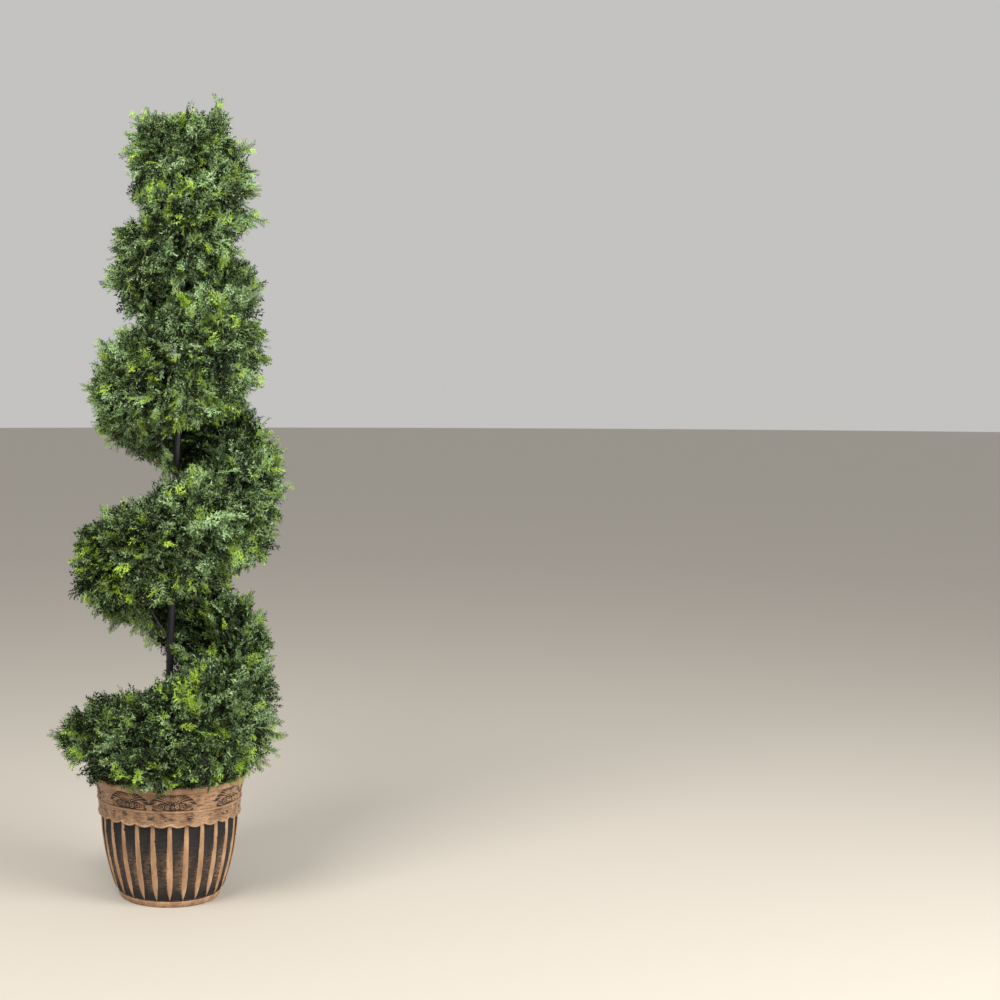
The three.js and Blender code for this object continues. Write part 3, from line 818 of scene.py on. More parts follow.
# One mass's sprays and twigs.
def mass_foliage(index):
    rng = np.random.default_rng(SEED * 1000 + index)
    at, way = cluster_places(*mass_span(index), rng)
    skin, heart, out, ahead, up = cluster_frames(at, way)
    room = np.linalg.norm(skin - heart, axis=1)
    kind = rng.random(len(at))
    pocketed = kind < mix(*POCKET_SHARES, smooth(half_turns(at), *CLOSED_UP))
    pocket = np.where(pocketed, rng.uniform(*POCKET_DEPTHS, len(at)), 0)
    depth = np.minimum(CLUSTER_DEPTH * rng.uniform(0.85, 1.15, len(at)) + pocket, 0.75 * room)
    depth -= SEAM_RISE * facing_seam(at, way)
    root = skin - out * depth[:, None]
    way_out = unit(out + rng.normal(0, 0.17, out.shape))
    ahead = unit(np.cross(up, way_out))
    up = np.cross(way_out, ahead)
    drape = np.where(np.sin(way) + rng.normal(0, 0.3, len(way)) > 0.05, 1.0, -1.0)
    spread = spread_sprays(root, way_out, ahead, up, rng, WIDEST_LEAN, 0.06, drape)
    cluster, along, normal, length, stem, base = spread
    near = at[cluster]
    count = len(cluster)
    stray = rng.random(count) < WISP_SHARE
    wisp = np.where(stray, rng.uniform(*WISPS, count), rng.normal(0, WISP, count))
    limit = (SKIN_SHARE + unevenness(at, way) + trimming(at, way))[cluster] + wisp
    place = base + along * stem[:, None]
    place, length, inside = limit_to_skin(place, along, length, out[cluster], near, limit)
    place = raised_over_pot(place, along, normal, length, rng)
    keep = inside & clear_sprays(place, along, length, near) & ~in_notch(place, along, length)
    # Painted shade: sprays that lie deep under the skin are coloured darker.
    under = (SKIN_SHARE - share_at(place, along, 0.6 * length, near)) * room[cluster]
    painted_shade_depth = np.clip((under - BURIED_FROM) / BURIED_OVER, 0, MOST_BURIED)
    # Painted light and shade, by quarter turns.
    tone = np.interp(4 * at / TURN, np.arange(len(PAINTED_LIGHT_BY_QUARTER_TURN)), PAINTED_LIGHT_BY_QUARTER_TURN)[cluster]
    tone -= LONG_SHADE * (length > LONG_FAN)
    colours = colours_of(cluster, painted_shade_depth, tone, rng)
    sprays = dict(zip(SPRAY_KEYS, (place, along, normal, length, *colours)))
    inner = inner_sprays(at, index, rng)
    sprays = sprays_object(f"cypress_sprays_{index + 1:02d}", kept_sprays(sprays, keep), inner, rng)
    return sprays, mass_twigs(index, at, root, root[cluster[keep]], place[keep])


# Deep sprays that fill the band's inside and the side towards the pole, and hide the outer
# half of the strut. Their darkest greens are painted shade inside the foliage.
def inner_sprays(at, index, rng):
    count = round(len(at) * CLUSTER_SPRAYS * INNER_SHARE)
    angle = rng.uniform(at.min(), at.max(), count)
    to_pole = rng.random(count) < TO_POLE_SHARE
    turned = np.where(to_pole, math.pi + rng.normal(0, 0.8, count), rng.uniform(0, TURN, count))
    share = np.where(to_pole, rng.uniform(0.2, 0.65, count), rng.uniform(0.05, 0.5, count))
    to_seam = rng.random(count) < TO_SEAM_SHARE * smooth(half_turns(angle), *CLOSED_UP)
    upright = rng.choice([-0.5, 0.5], count) * math.pi + rng.normal(0, 0.5, count)
    turned = np.where(to_seam, upright, turned)
    share = np.where(to_seam, rng.uniform(0.35, 0.75, count), share)
    root = band_point(angle, turned, share)
    skin = band_point(angle, turned, 1.0)
    out = unit(skin - root)
    stray = unit(rng.normal(0, 1, (count, 3)))
    along = unit(out + 0.8 * stray)
    reach = np.linalg.norm(skin - root, axis=1)
    most = np.where(to_pole, TO_POLE_LENGTH, 0.8 * reach)
    length = np.minimum(rng.uniform(*INNER_LENGTHS, count), most)
    foot, tip = strut_ends(index)
    covered = rng.random(count) < COVER_SHARE
    run = rng.uniform(0.5, 1.0, count)[:, None]
    root = np.where(covered[:, None], foot + (tip - foot) * run, root)
    length = np.where(covered, rng.uniform(*COVER_LENGTHS, count), length)
    normal = unit(np.cross(along, stray))
    root = raised_over_pot(root, along, normal, length, rng)
    deepest = np.where(to_pole | to_seam, 0.98, 0.82)
    keep = clear_sprays(root, along, length, angle) & ~in_notch(root, along, length)
    keep &= covered | (share_at(root, along, length, angle) < deepest)
    # Painted shade: inner sprays take the darkest greens.
    body = rng.choice([PAINTED_SHADE_GREEN, PAINTED_SHADE_GREEN, PAINTED_SHADE_GREEN, PAINTED_SHADE_GREEN, DARK], count)
    untipped = (np.full(count, UNTIPPED), np.full(count, OLIVE))
    sprays = dict(zip(SPRAY_KEYS, (root, along, normal, length, body, *untipped)))
    return kept_sprays(sprays, keep)


# Twigs from the mass's spine to each cluster, and from there to each spray.
def mass_twigs(index, at, root, base, place):
    start, end = mass_span(index)
    from_spine = spine_point(np.clip(at - 0.12, start + 0.01, end - 0.01))
    knee = mix(from_spine, root, 0.55) + np.array([0, 0, 4.0])
    limbs = (from_spine, knee, root)
    return twigs_object(f"twigs_{index + 1:02d}", limbs, (base, place + (place - base) * 0.15))


# Three-sided limbs and stems. Each is given as the arrays of its first points, second points
# and so on.
def twigs_object(name, limbs, stems):
    limbs = tube_parts(np.stack(limbs, 1), LIMB_RADII, TWIG_SIDES)
    stems = tube_parts(np.stack(stems, 1), STEM_RADII, TWIG_SIDES)
    return mesh_object(name, *joined([limbs, stems]), [twig_finish])


def spine_point(angle):
    height, inner, reach, above, below = section(angle)
    middle = mix(inner, reach, 0.5)
    return around_pole(angle, middle, height + (above - below) * 0.25)


# Crown


def crown_foliage():
    rng = np.random.default_rng(SEED * 1000 + MASSES)
    k = np.arange(CROWN_CLUSTERS)
    level = 1 - 1.35 * (k + 0.5) / CROWN_CLUSTERS
    out = polar(np.sqrt(1 - level * level), k * GOLDEN, level)
    centre = pole_middle(CROWN_HEIGHT)
    root = centre + out * CROWN_CORE * CROWN_ROOTS
    ahead = unit(np.cross(np.array([0.0, 0.0, 1.0]), out))
    up = np.cross(out, ahead)
    spread = spread_sprays(root, out, ahead, up, rng, CROWN_WIDEST_LEAN, 0.1)
    cluster, along, normal, length, stem, base = spread
    length = length * CROWN_FANS
    place = base + along * (0.6 * stem)[:, None]
    top = centre[2] + CROWN_CORE[2] + rng.uniform(-6, 4, len(place))
    reach = place + along * length[:, None]
    place[:, 2] -= np.maximum(0, reach[:, 2] - top)
    # The crown takes the painted light and shade of the last quarter turn.
    colours = colours_of(cluster, np.zeros(len(place)), PAINTED_LIGHT_BY_QUARTER_TURN[-1], rng)
    sprays = dict(zip(SPRAY_KEYS, (place, along, normal, length, *colours)))
    inner = kept_sprays(sprays, slice(None, None, CROWN_INNER_STEP))
    inner["length"] = CROWN_INNER_FANS * inner["length"]
    # Painted shade: the crown's inner sprays take the darkest green.
    inner["body"] = np.full_like(inner["body"], PAINTED_SHADE_GREEN)
    inner["tip_from"] = np.full_like(inner["tip_from"], UNTIPPED)
    sprays_piece = sprays_object("crown_sprays", sprays, inner, rng)
    foot = np.broadcast_to(pole_middle(POLE_TIP + GAP), root.shape)
    limbs = (foot, mix(foot, root, 0.6), root)
    return sprays_piece, twigs_object("crown_twigs", limbs, (base, place))


# Single shoots that stand out of the outline: the tip in x and z, the heading above +X in
# degrees, and the length. They grow on from the foliage behind them.
SHOOTS = [
    (72, 1202, 80, 40), (-56, 1174, 140, 32), (-32, 1180, 110, 28), (124, 1130, 25, 34),
    (132, 1066, 8, 34), (146, 1016, -22, 44), (-70, 1118, 190, 32), (-98, 926, 188, 38),
    (-128, 770, 184, 36), (-106, 838, 140, 34), (182, 620, 6, 38), (150, 700, 30, 34),
    (-146, 506, 185, 34), (-58, 396, 245, 44), (-28, 376, 262, 36), (174, 238, -20, 42),
    (162, 214, -35, 40), (168, 262, -8, 38), (-178, 242, 186, 36), (-102, 586, 130, 36),
    (-90, 402, 235, 38), (170, 674, 20, 34), (134, 430, 60, 30), (116, 744, 0, 34),
    (147, 812, -10, 34), (-4, 622, 270, 50), (-1, 640, 284, 44), (2, 350, 188, 42),
    (4, 374, 165, 38), (-78, 852, 150, 34), (148, 196, -40, 46), (140, 188, -50, 40),
    (-66, 412, 262, 42), (-44, 398, 250, 38),
]
SHOOT_SHARES = (0.0, 0.12, 0.24, 0.36, 0.48, 0.6, 0.7)  # where a shoot's fans grow


def shoots_objects():
    rng = np.random.default_rng(SEED * 100)
    sprays, stems = [], []
    for x, z, heading, length in SHOOTS:
        turn = math.radians(heading)
        along = unit(np.array([math.cos(turn), rng.uniform(-0.3, 0.2), math.sin(turn)]))
        tip = np.array([x, rng.uniform(-18, 4), z])
        foot = tip - along * length
        stems.append(np.stack([foot, mix(foot, tip, 0.5), tip - along * 6]))
        for share in SHOOT_SHARES:
            lean = rng.choice([-1, 1]) * rng.uniform(0.1, 0.65) * (share < SHOOT_SHARES[-1])
            face = unit(np.array([rng.normal(0, 0.4), -1.0, rng.normal(0, 0.4)]))
            side = unit(np.cross(face, along))
            fan = unit(along + side * lean)
            normal = unit(face - fan * (face @ fan))
            body = rng.choice([DARK, GREEN, GREEN, BLUE])
            tip_from = rng.choice([0.5, UNTIPPED])
            tip_colour = rng.choice([OLIVE, TIP])
            size = mix(24.0, 15.0, share)
            sprays.append((mix(foot, tip, share), fan, normal, size, body, tip_from, tip_colour))
    sprays = {key: np.array(values) for key, values in zip(SPRAY_KEYS, zip(*sprays))}
    points, faces, colours = spray_parts(sprays, SHOWN_FANS, rng)
    leaves = mesh_object("shoot_sprays", points, faces, GREENS, colours)
    stems = tube_parts(np.array(stems), (0.8, 0.6, 0.4), TWIG_SIDES)
    return leaves, mesh_object("shoot_twigs", *stems, [twig_finish])


# Wires


# The foot and tip of a mass's strut.
def strut_ends(index):
    angle = (index + 0.5) / MASSES * END
    tip = band_point(angle, STRUT_WAY, core_share(angle) + STRUT_END)
    axis = pole_middle(tip[2])
    run = np.linalg.norm(tip - axis)
    foot = pole_middle(max(LOWEST_STRUT, tip[2] - STRUT_SLOPE * run))
    return foot, tip


def wire_line(points, radii):
    return tube_parts(points[None], radii, WIRE_SIDES)


# Each mass's strut, with the stem on from its tip and the spine that runs along the mass.
def wires_object():
    parts = []
    for index in range(MASSES):
        foot, tip = strut_ends(index)
        way = unit(tip - foot)
        start, end = mass_span(index)
        middle = spine_point((start + end) / 2)
        steps = np.linspace(0, 1, 14)
        run = foot + way * (POLE_RADIUS + 1.0)
        bow = np.sin(steps * math.pi)[:, None] * WIRE_BOW
        wave = np.sin(steps * 41)[:, None] * WIRE_WAVE
        line = run + (tip - run) * steps[:, None] + bow + wave
        parts.append(wire_line(line, mix(WIRE_FOOT_RADIUS, WIRE_TIP_RADIUS, steps)))
        stem_end = tip + way * STEM_LENGTH
        t = np.linspace(0, 1, 7)[:, None]
        curve = (1 - t) ** 2 * (tip + way * GAP) + 2 * t * (1 - t) * stem_end + t * t * middle
        parts.append(wire_line(curve, WIRE_TIP_RADIUS))
        along = spine_point(np.linspace(start + 0.02, end - 0.02, 13))
        parts.append(wire_line(along, WIRE_TIP_RADIUS))
    return mesh_object("wires", *joined(parts), [wire_finish], shaded_smooth=True)


def pole_object():
    side = np.arange(4 * POLE_RIBS)
    heights = np.concatenate([np.arange(POLE_FOOT, POLE_TIP, 22.0), [POLE_TIP - 1.2, POLE_TIP]])
    profile = POLE_RADIUS - 0.35 * (side % 4 == 0) - 0.15 * (side % 2 == 1)
    radius = np.broadcast_to(profile, (len(heights), len(side))).copy()
    radius[-1] -= 1.0
    points = pole_middle(heights)[:, None] + polar(radius, side / len(side) * TURN, 0.0)
    return ringed_object("ribbed_pole", points, pole_finish)


# A closed mesh of rings of points, rings x around x 3. The last ring meets the first, or both
# have a fan.
def ringed_object(name, rings, finish, looped=False):
    count, around = rings.shape[:2]
    points = [rings.reshape(-1, 3)]
    faces = [wall_faces(count, around, looped)]
    if not looped:
        points.append(np.stack([rings[0].mean(0), rings[-1].mean(0)]))
        j = np.arange(around)
        after = (j + 1) % around
        top = (count - 1) * around
        hub = np.full(around, count * around)
        faces.append(np.stack([hub, after, j], 1))
        faces.append(np.stack([hub + 1, top + j, top + after], 1))
    points, faces = np.concatenate(points), np.concatenate(faces)
    return mesh_object(name, points, faces, [finish], shaded_smooth=True)


# Pot


def pot_radius(height):
    t = np.clip(height / BAND_HEIGHT, 0, 1)
    body = FOOT_RADIUS + (BODY_RADIUS - FOOT_RADIUS) * np.sin(math.pi / 2 * t) ** 0.8
    rise = (height - BAND_HEIGHT) / (POT_HEIGHT - BAND_HEIGHT)
    return np.where(height < BAND_HEIGHT, body, mix(BAND_LOW_RADIUS, BAND_HIGH_RADIUS, rise))


POT_COLUMNS = FLUTES * 24
FRIEZE_COLUMNS = FLUTES * 44
FRIEZE_LOW = 152.6
FRIEZE_HIGH = 176.8
FRIEZE_SEAT = 2.4  # how deep the frieze's ring sits in the wall
FRIEZE_GROUPS = 4
FRIEZE_CENTRE = math.radians(-90 - 16)  # of the group that shows in front
CLUSTER_CENTRE = math.radians(18.3)  # of each half of a group from the group's middle
CLUSTER_HALF = 33.0  # half the width of one spray of ornament
FRIEZE_RADIUS = 111.0
LEAF_FOOT = 8.0  # height of the point that the ornament's leaves fan out from
LAST_LEAF = 84  # turn of the outermost leaf from upright, in degrees
LEAF_STEP = 12
SCROLL_FOOT = 5.6
ORNAMENT_EDGE = 1.5  # width over which the ornament's ground fades into the plain wall
# Dark strokes on the plain wall: place from its middle, height, half length and thickness in
# millimetres, and strength
FRIEZE_STROKES = [
    (-9, 13.5, 9, 1.5, 1.0), (-12, 5.5, 8, 1.1, 0.8), (-3, 9.0, 7, 1.0, 0.6),
    (10, 17.5, 8, 1.2, 0.6), (9, 3.6, 6, 0.9, 0.7), (-14, 20.0, 7, 1.0, 0.5),
    (14, 10.5, 5, 1.0, 0.5),
]


def line_relief(x, y, line, widths):
    best = np.zeros_like(x)
    for (a, b), (wa, wb) in zip(zip(line[:-1], line[1:]), zip(widths[:-1], widths[1:])):
        step = b - a
        t = np.clip(((x - a[0]) * step[0] + (y - a[1]) * step[1]) / (step @ step), 0, 1)
        away = np.hypot(x - a[0] - t * step[0], y - a[1] - t * step[1])
        best = np.maximum(best, np.clip(1 - (away / mix(wa, wb, t)) ** 2, 0, 1) ** 0.6)
    return best


# How far the ornament's leaves reach by their turn from upright, in degrees.
def leaf_reach(turn):
    return 13.0 + 21 * (np.abs(turn) / LAST_LEAF) ** 1.7


# Relief from 0 to 1 of one spray of ornament: leaves that fan out over a row of rosettes,
# scrolls and hooks. x runs round the pot from the spray's middle and y up from the frieze's
# lower edge, in millimetres.
def ornament(x, y):
    forms = [np.zeros_like(x)]
    for turn in range(-LAST_LEAF, LAST_LEAF + 1, LEAF_STEP):
        heading = math.radians(90 - turn)
        t = np.linspace(0.42 if turn % 24 else 0.22, 1, 7)
        px = t * leaf_reach(turn) * math.cos(heading)
        bow = 3.2 * np.sin(t * 2.6) * abs(turn) / LAST_LEAF
        py = LEAF_FOOT + t * leaf_reach(turn) * math.sin(heading) + bow
        widths = 1.05 * np.sin(math.pi * np.clip(t, 0.12, 0.95)) ** 0.6 + 0.15
        widths = np.minimum(widths, 0.09 * t * leaf_reach(turn))
        forms.append(line_relief(x, y, np.stack([px, py], 1), widths))
    for side in (-1, 1):
        for centre, size in ((7.2, 3.7), (15.8, 4.6)):
            start = 180 - side * 110
            turn = np.radians(np.linspace(start, start + side * 500, 21))
            spiral = size * np.linspace(1, 0.2, 21)
            scroll = polar(spiral, turn, 0)[:, :2] + [side * centre, SCROLL_FOOT]
            forms.append(line_relief(x, y, scroll, np.full(21, 0.78)))
        for size in (6.6, 9.0, 11.4, 13.8):
            turn = np.radians(np.linspace(-80, 88, 9))
            tall = SCROLL_FOOT + 0.12 * (size - 6.6)
            hook = np.stack([side * (16.6 + size * np.cos(turn)), 6.4 + tall * np.sin(turn)], 1)
            forms.append(line_relief(x, y, hook, np.linspace(0.55, 0.85, 9)))
    for cx, cy, size in [(0, 5.0, 4.2), (-11.5, 2.0, 1.5), (11.5, 2.0, 1.5)]:
        away = np.hypot(x - cx, y - cy)
        petals = 0.7 + 0.3 * np.cos(6 * np.arctan2(y - cy, x - cx))
        dimple = 0.85 * np.exp(-((away / size / 0.3) ** 2))
        forms.append(np.clip(1 - (away / (size * petals)) ** 4, 0, 1) - dimple)
    for cx, cy in [(0, 5.0), (11.4, 9.6), (3.8, 10.6), (20.5, 6.0)]:
        away = np.hypot(np.abs(x) - cx, y - cy)
        forms.append(np.sqrt(np.clip(1 - (away / 1.15) ** 2, 0, 1)))
    return np.maximum.reduce(forms)


# The frieze at angles and heights: its relief, how much of it is ornament, and the dark
# strokes on the plain wall between the groups.
def frieze(angle, height):
    period = TURN / FRIEZE_GROUPS
    inside = (angle - FRIEZE_CENTRE + period / 2) % period - period / 2
    x = (np.abs(inside) - CLUSTER_CENTRE) * FRIEZE_RADIUS
    y = height - FRIEZE_LOW
    ragged = 0.9 * np.sin(y * 0.9) + 0.7 * np.sin(x * 1.7 + 1)
    low_part = smooth(CLUSTER_HALF - ORNAMENT_EDGE + ragged - np.abs(x), 0, ORNAMENT_EDGE)
    low_part = low_part * smooth(12.6 + ragged - y, 0, ORNAMENT_EDGE)
    over = y - LEAF_FOOT - 1.5
    turn = np.degrees(np.arctan2(np.abs(x), np.maximum(0.1, over)))
    past = leaf_reach(np.minimum(turn, 90)) + 0.6 + 0.5 * ragged - np.hypot(x, over)
    leaf_part = smooth(past, 0, ORNAMENT_EDGE)
    covered = np.maximum(low_part, np.where(y > LEAF_FOOT, leaf_part, 0))
    fade = smooth(y, 0.2, 1.0) * smooth(FRIEZE_HIGH - 0.4 - height, 0, 1.0)
    from_gap = ((angle - FRIEZE_CENTRE) % period - period / 2) * FRIEZE_RADIUS
    strokes = np.zeros_like(x)
    for along, up, long, thick, strength in FRIEZE_STROKES:
        reach = np.abs(from_gap - along) / long
        line = (y - up - 0.05 * (from_gap - along)) / thick
        strokes = np.maximum(strokes, strength * np.exp(-(reach**3) - line**2))
    return ornament(x, y) * fade, covered, strokes


BRUSH_WAVES = 14
BRUSH_SPREAD = 3.74


# Soft noise round the pot for brush marks: sums of waves that close round it.
def brushed(angle, height, seed, fine=1.0):
    rng = np.random.default_rng(seed)
    total = np.zeros(np.broadcast(angle, height).shape)
    for _ in range(BRUSH_WAVES):
        around = int(rng.integers(3, 34) * fine)
        phase = rng.uniform(0, TURN)
        total = total + np.sin(around * angle + phase + height * rng.normal(0, 0.5 * fine))
    return total / BRUSH_SPREAD


# Rows of a pot's mesh round the same angles: height, radius and the paint's three measures.
class Rows:
    def __init__(self, columns):
        self.angle = np.arange(columns) / columns * TURN
        self.rows = []

    def add(self, height, radius, cover, haze=0.0, soot_and_shade=0.0):
        values = (height, radius, cover, haze, soot_and_shade)
        self.rows.append([np.broadcast_to(v, self.angle.shape).astype(float) for v in values])

    # Brush marks from 0 to 1, as the noise times a gain plus an offset
    def marks(self, height, seed, fine=1.0, gain=1.0, offset=0.0):
        return np.clip(brushed(self.angle, height, seed, fine) * gain + offset, 0, 1)

    def made(self, name, finish, looped):
        height, radius, *paint = (np.stack([row[k] for row in self.rows]) for k in range(5))
        made = ringed_object(name, polar(radius, self.angle, height), finish, looped)
        for title, values in zip(PAINT_MEASURES, paint):
            values = values.ravel() if looped else np.append(values.ravel(), [0.2, 0.2])
            attribute = made.data.attributes.new(title, "FLOAT", "POINT")
            attribute.data.foreach_set("value", values.astype(np.float32))
        return made


def add_foot(rows):
    for radius in (20.0, 50.0, FOOT_RADIUS - 4):
        rows.add(0.0, radius, 0.3)
    for height, proud, cover in [
        (0.0, -2.4, 0.7), (0.6, -0.9, 0.95), (2.0, 0.0, 1.1), (4.4, 1.1, 1.1), (6.8, 2.0, 1.1),
        (8.2, 2.2, 1.0), (9.2, 1.5, 0.6), (10.0, 1.2, 0.2), (10.8, 1.7, 0.12),
    ]:
        rows.add(height, FOOT_RADIUS + proud, cover, 0.4, 0.35 * rows.marks(height, 5, 1.4))


def hollow_depth(share):
    return FLUTE_DEPTH * np.sin(math.pi / 2 * np.clip(share, 0, 1) ** 0.55)


def add_flutes(rows, u, flute, number, edge):
    rng = np.random.default_rng(SEED)
    strength = rng.uniform(0.45, 1.25, FLUTES)[number]
    skew = rng.uniform(-0.3, 0.3, FLUTES)[number]
    for t in np.linspace(0, 1, 54) ** 0.94:
        height = mix(FLUTE_START, edge - 0.7, t)
        rib = np.interp(height, RIB_HEIGHTS, RIB_SHARES) / 2
        crest = 0.45 * np.clip(1 - (u / np.maximum(rib, 0.01)) ** 2, 0, 1)
        low_end = 1 - smooth(height, FLUTE_START, FLUTE_START + 7)
        depth = hollow_depth((u - rib) / (0.5 - rib)) + 1.0 * low_end
        radius = pot_radius(height) - 0.45 + crest - depth
        on_rib = 1 - smooth(u, rib - 0.02, rib + 0.05)
        dry = smooth(height, *DRY_FROM) * (1 - smooth(height, *DRY_TO))
        beside_rib = np.exp(-(((1 - rib - flute) / 0.13) ** 2))
        side = np.clip(0.55 - 0.8 * np.abs(flute - 0.5 - skew) + 1.0 * beside_rib, 0, 1.2)
        patch = dry * strength * rows.marks(height * 0.1, 11, 1.2, 0.5, 0.6) * side
        worn = 0.4 * rows.marks(height * 0.3, 23, 2.0, offset=-0.5)
        chips = 0.5 * rows.marks(height * 0.7, 29, 4.0, offset=-0.9)
        cover = np.maximum(on_rib * (1.06 - worn - chips), 0.2 * patch)
        rows.add(height, radius, cover, 0.05 + 1.1 * patch + 0.12 * dry, 0.15 * worn)
    last = edge - 0.5
    rows.add(last, pot_radius(last) - hollow_depth((u - 0.1) / 0.4) + 0.2, 0.0)


def add_band(rows, edge):
    angle = rows.angle
    # Painted shade: the band's edge is dulled darker under the scallops' lip and in the groove above
    # it.
    for rise, proud, cover, soot_and_shade in [
        (-0.3, -0.4, 0.1, 0.6), (0.0, 1.1, 1.0, 0.0), (0.6, 1.9, 1.2, 0.0), (1.5, 1.9, 1.2, 0.0),
        (2.4, 1.0, 1.1, 0.3), (3.3, 0.2, 1.0, 0.55), (4.4, 0.0, 1.0, 0.35), (5.6, 0.0, 1.0, 0.3),
    ]:
        rows.add(edge + rise, BAND_LOW_RADIUS + proud, cover, 0.2, soot_and_shade)
    for t in np.linspace(0.1, 1, 14):
        height = mix(edge + LOW_BEAD, HIGH_BEAD, t)
        line = height - STAIN_HEIGHT - 1.3 * np.sin(5 * angle) - 0.8 * np.sin(11 * angle + 1)
        spots = rows.marks(height * 0.05, 31, gain=1.7, offset=-0.4)
        spots = spots * np.exp(-((line / STAIN_SPREAD) ** 2))
        wash = np.minimum(rows.marks(height * 0.5, 37, 2.0, 0.5, 0.2), 0.5)
        # The band darkens a little towards its top, as painted shade by the crease under the upper
        # bead.
        soot_and_shade = 1.3 * spots + 0.5 * wash + 0.34 + 0.2 * smooth(t, 0.8, 1.0)
        rows.add(height, pot_radius(height), 1.1, 0.2, soot_and_shade)
    # Painted shade: the creases on both sides of the upper bead are dulled darker.
    for height, proud, cover, soot_and_shade in [
        (148.8, 0.1, 1.0, 0.6), (149.3, 0.6, 1.1, 0.1), (150.0, 1.1, 1.2, 0.0),
        (150.8, 1.2, 1.2, 0.0), (151.4, 0.8, 1.2, 0.0), (151.9, 0.1, 1.0, 0.3),
        (152.3, -0.7, 0.7, 0.7), (152.7, -1.1, 0.4, 0.9),
    ]:
        rows.add(height, pot_radius(height) + proud, cover, 0.2, soot_and_shade)


def add_rim(rows):
    for height in (FRIEZE_LOW + 0.3, FRIEZE_HIGH - 0.2):
        rows.add(height, pot_radius(height) - FRIEZE_SEAT, 0.3)
    inner_top = BAND_HIGH_RADIUS - POT_WALL - 1
    for height, radius, cover in [
        (176.7, 111.0, 0.8), (177.6, 112.6, 1.0), (178.4, 115.6, 1.1), (179.6, LIP_RADIUS - 0.2, 1.15),
        (182.5, LIP_RADIUS, 1.15), (185.2, LIP_RADIUS, 1.15), (186.5, LIP_RADIUS - 0.5, 1.15),
        (187.0, LIP_RADIUS - 1.5, 1.05), (187.0, inner_top + 1.5, 1.0), (186.6, inner_top + 0.4, 0.6),
    ]:
        rows.add(height, radius, cover, 0.2, 0.2 * rows.marks(height, 61))
    under_band = BAND_HEIGHT - 1
    inner_low = pot_radius(under_band) - POT_WALL - FLUTE_DEPTH
    for height in (184.0, 166.0, under_band):
        share = (height - under_band) / (POT_HEIGHT - under_band)
        rows.add(height, mix(inner_low, inner_top, share), 0.2)
    for height in (WALL_BEND, POT_FLOOR):
        rows.add(height, pot_radius(height) - POT_WALL - FLUTE_DEPTH, 0.1)
    rows.add(POT_FLOOR, 20.0, 0.1)


def pot_object(finish):
    rows = Rows(POT_COLUMNS)
    turns = rows.angle / TURN * FLUTES - 0.5
    flute = turns % 1
    u = np.minimum(flute, 1 - flute)
    edge = BAND_HEIGHT - SCALLOP_DROP * (1 - (1 - 2 * u) ** 2)
    add_foot(rows)
    add_flutes(rows, u, flute, np.floor(turns).astype(int) % FLUTES, edge)
    add_band(rows, edge)
    add_rim(rows)
    return rows.made("fluted_pot", finish, False)


def frieze_object(finish):
    rows = Rows(FRIEZE_COLUMNS)
    angle = rows.angle
    rows.add(FRIEZE_LOW, pot_radius(FRIEZE_LOW) - FRIEZE_SEAT, 0.3)
    for height in np.linspace(FRIEZE_LOW, FRIEZE_HIGH, 45):
        relief, covered, strokes = frieze(angle, height)
        worked = smooth(relief, 0.3, 0.95)
        soot_and_shade = mix(1.1 * strokes + 0.2, 0.55 * (1 - worked) + 0.12, covered)
        raised = mix(0.55 + 0.1 * brushed(angle, height, 51), 1.35 * relief, covered)
        radius = pot_radius(height) - 1.3 + raised
        rows.add(height, radius, mix(1.1, 0.16 + 0.9 * worked, covered), 0.35, soot_and_shade)
    rows.add(FRIEZE_HIGH, pot_radius(FRIEZE_HIGH) - FRIEZE_SEAT, 0.3)
    return rows.made("pot_frieze", finish, True)


# Assembly


# Hides the nodes that a piece stands for and attaches it to the root body. slot is not used.
def declare(piece, slot, *nodes):
    if nodes:
        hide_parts(*nodes)
    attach(piece, "root")


copper_finish = pot_material()
declare(pot_object(copper_finish), "pot_finish", "pot")
declare(frieze_object(copper_finish), "pot_finish")

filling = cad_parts["filling"]
for slot in filling.material_slots:
    slot.material = cement_material()

declare(pole_object(), "black_coat", "pole")
declare(wires_object(), "black_coat", *[f"strut_{k + 1:02d}" for k in range(MASSES)])

for index in range(MASSES):
    sprays_piece, twigs_piece = mass_foliage(index)
    declare(sprays_piece, "foliage", f"spiral_foliage_{index + 1:02d}")
    declare(twigs_piece, "foliage")

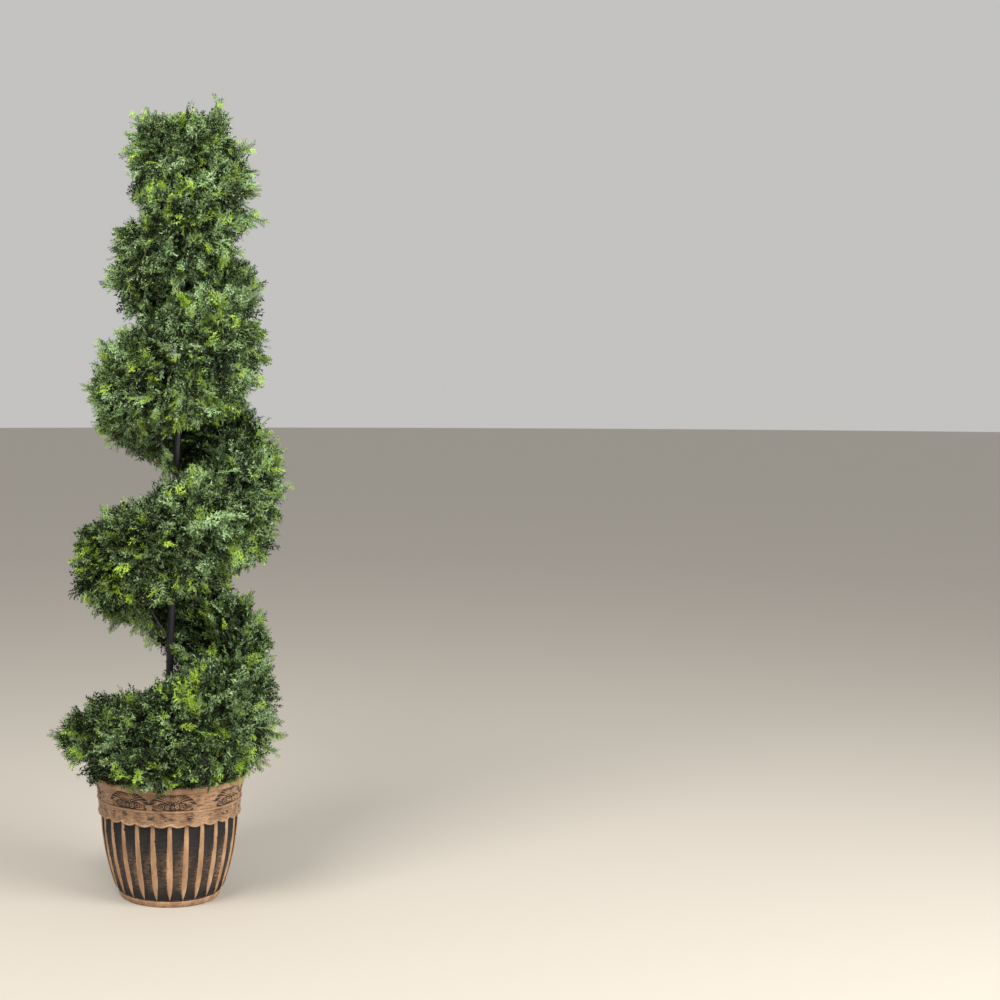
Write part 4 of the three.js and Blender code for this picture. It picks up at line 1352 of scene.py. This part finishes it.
sprays_piece, twigs_piece = crown_foliage()
declare(sprays_piece, "foliage", "crown_foliage")
for piece in (twigs_piece, *shoots_objects()):
    declare(piece, "foliage")

# Stage, light and camera

FLOOR_RADIUS = 30000.0
FLOOR_CORNERS = 96
corner = np.arange(FLOOR_CORNERS)
floor_ring = polar(FLOOR_RADIUS, corner / FLOOR_CORNERS * TURN, 0)
floor_points = np.concatenate([floor_ring, [[0, 0, 0]]]) - [0, 0, 0.1]
floor_middle = np.full_like(corner, FLOOR_CORNERS)
floor_faces = np.stack([floor_middle, corner, (corner + 1) % FLOOR_CORNERS], 1)
floor_finish = plain_material("floor_pale", "c4beb5", 0.9, 0.2)
floor = mesh_object("floor", floor_points, floor_faces, [floor_finish])

world = bpy.data.worlds.new("soft_room")
world.use_nodes = True
room_light = world.node_tree.nodes["Background"].inputs
room_light["Color"].default_value = (0.93, 0.92, 0.9, 1)
room_light["Strength"].default_value = 0.59
scene = bpy.context.scene
scene.world = world
scene.view_settings.view_transform = "Standard"


def area_light(name, place, target, size, watts, colour):
    data = bpy.data.lights.new(name, "AREA")
    data.size = size
    data.energy = watts
    data.color = colour
    lamp = new_object(name, data)
    lamp.location = place
    aim = Vector(target) - Vector(place)
    lamp.rotation_mode = "QUATERNION"
    lamp.rotation_quaternion = aim.to_track_quat("-Z", "Y")


area_light("key", (-0.85, -1.35, 2.25), (0, 0, 1.1), 1.1, 58, (1.0, 0.96, 0.9))
area_light("fill", (1.9, -1.45, 1.5), (0, 0, 0.8), 1.5, 68, (1.0, 0.97, 0.92))

CAMERA_PLACE = (0.0034, -2.4773, 0.767)
LENS = 59.02
SHIFT = (0.28, -0.06)
YAW = math.radians(1.693)
PITCH = math.radians(1.789)
data = bpy.data.cameras.new("photo_view")
data.lens = LENS
data.sensor_width = 36
data.shift_x, data.shift_y = SHIFT
camera = new_object("photo_view", data)
camera.location = CAMERA_PLACE
camera.rotation_euler = (math.pi / 2 - PITCH, 0, -YAW)
scene.camera = camera
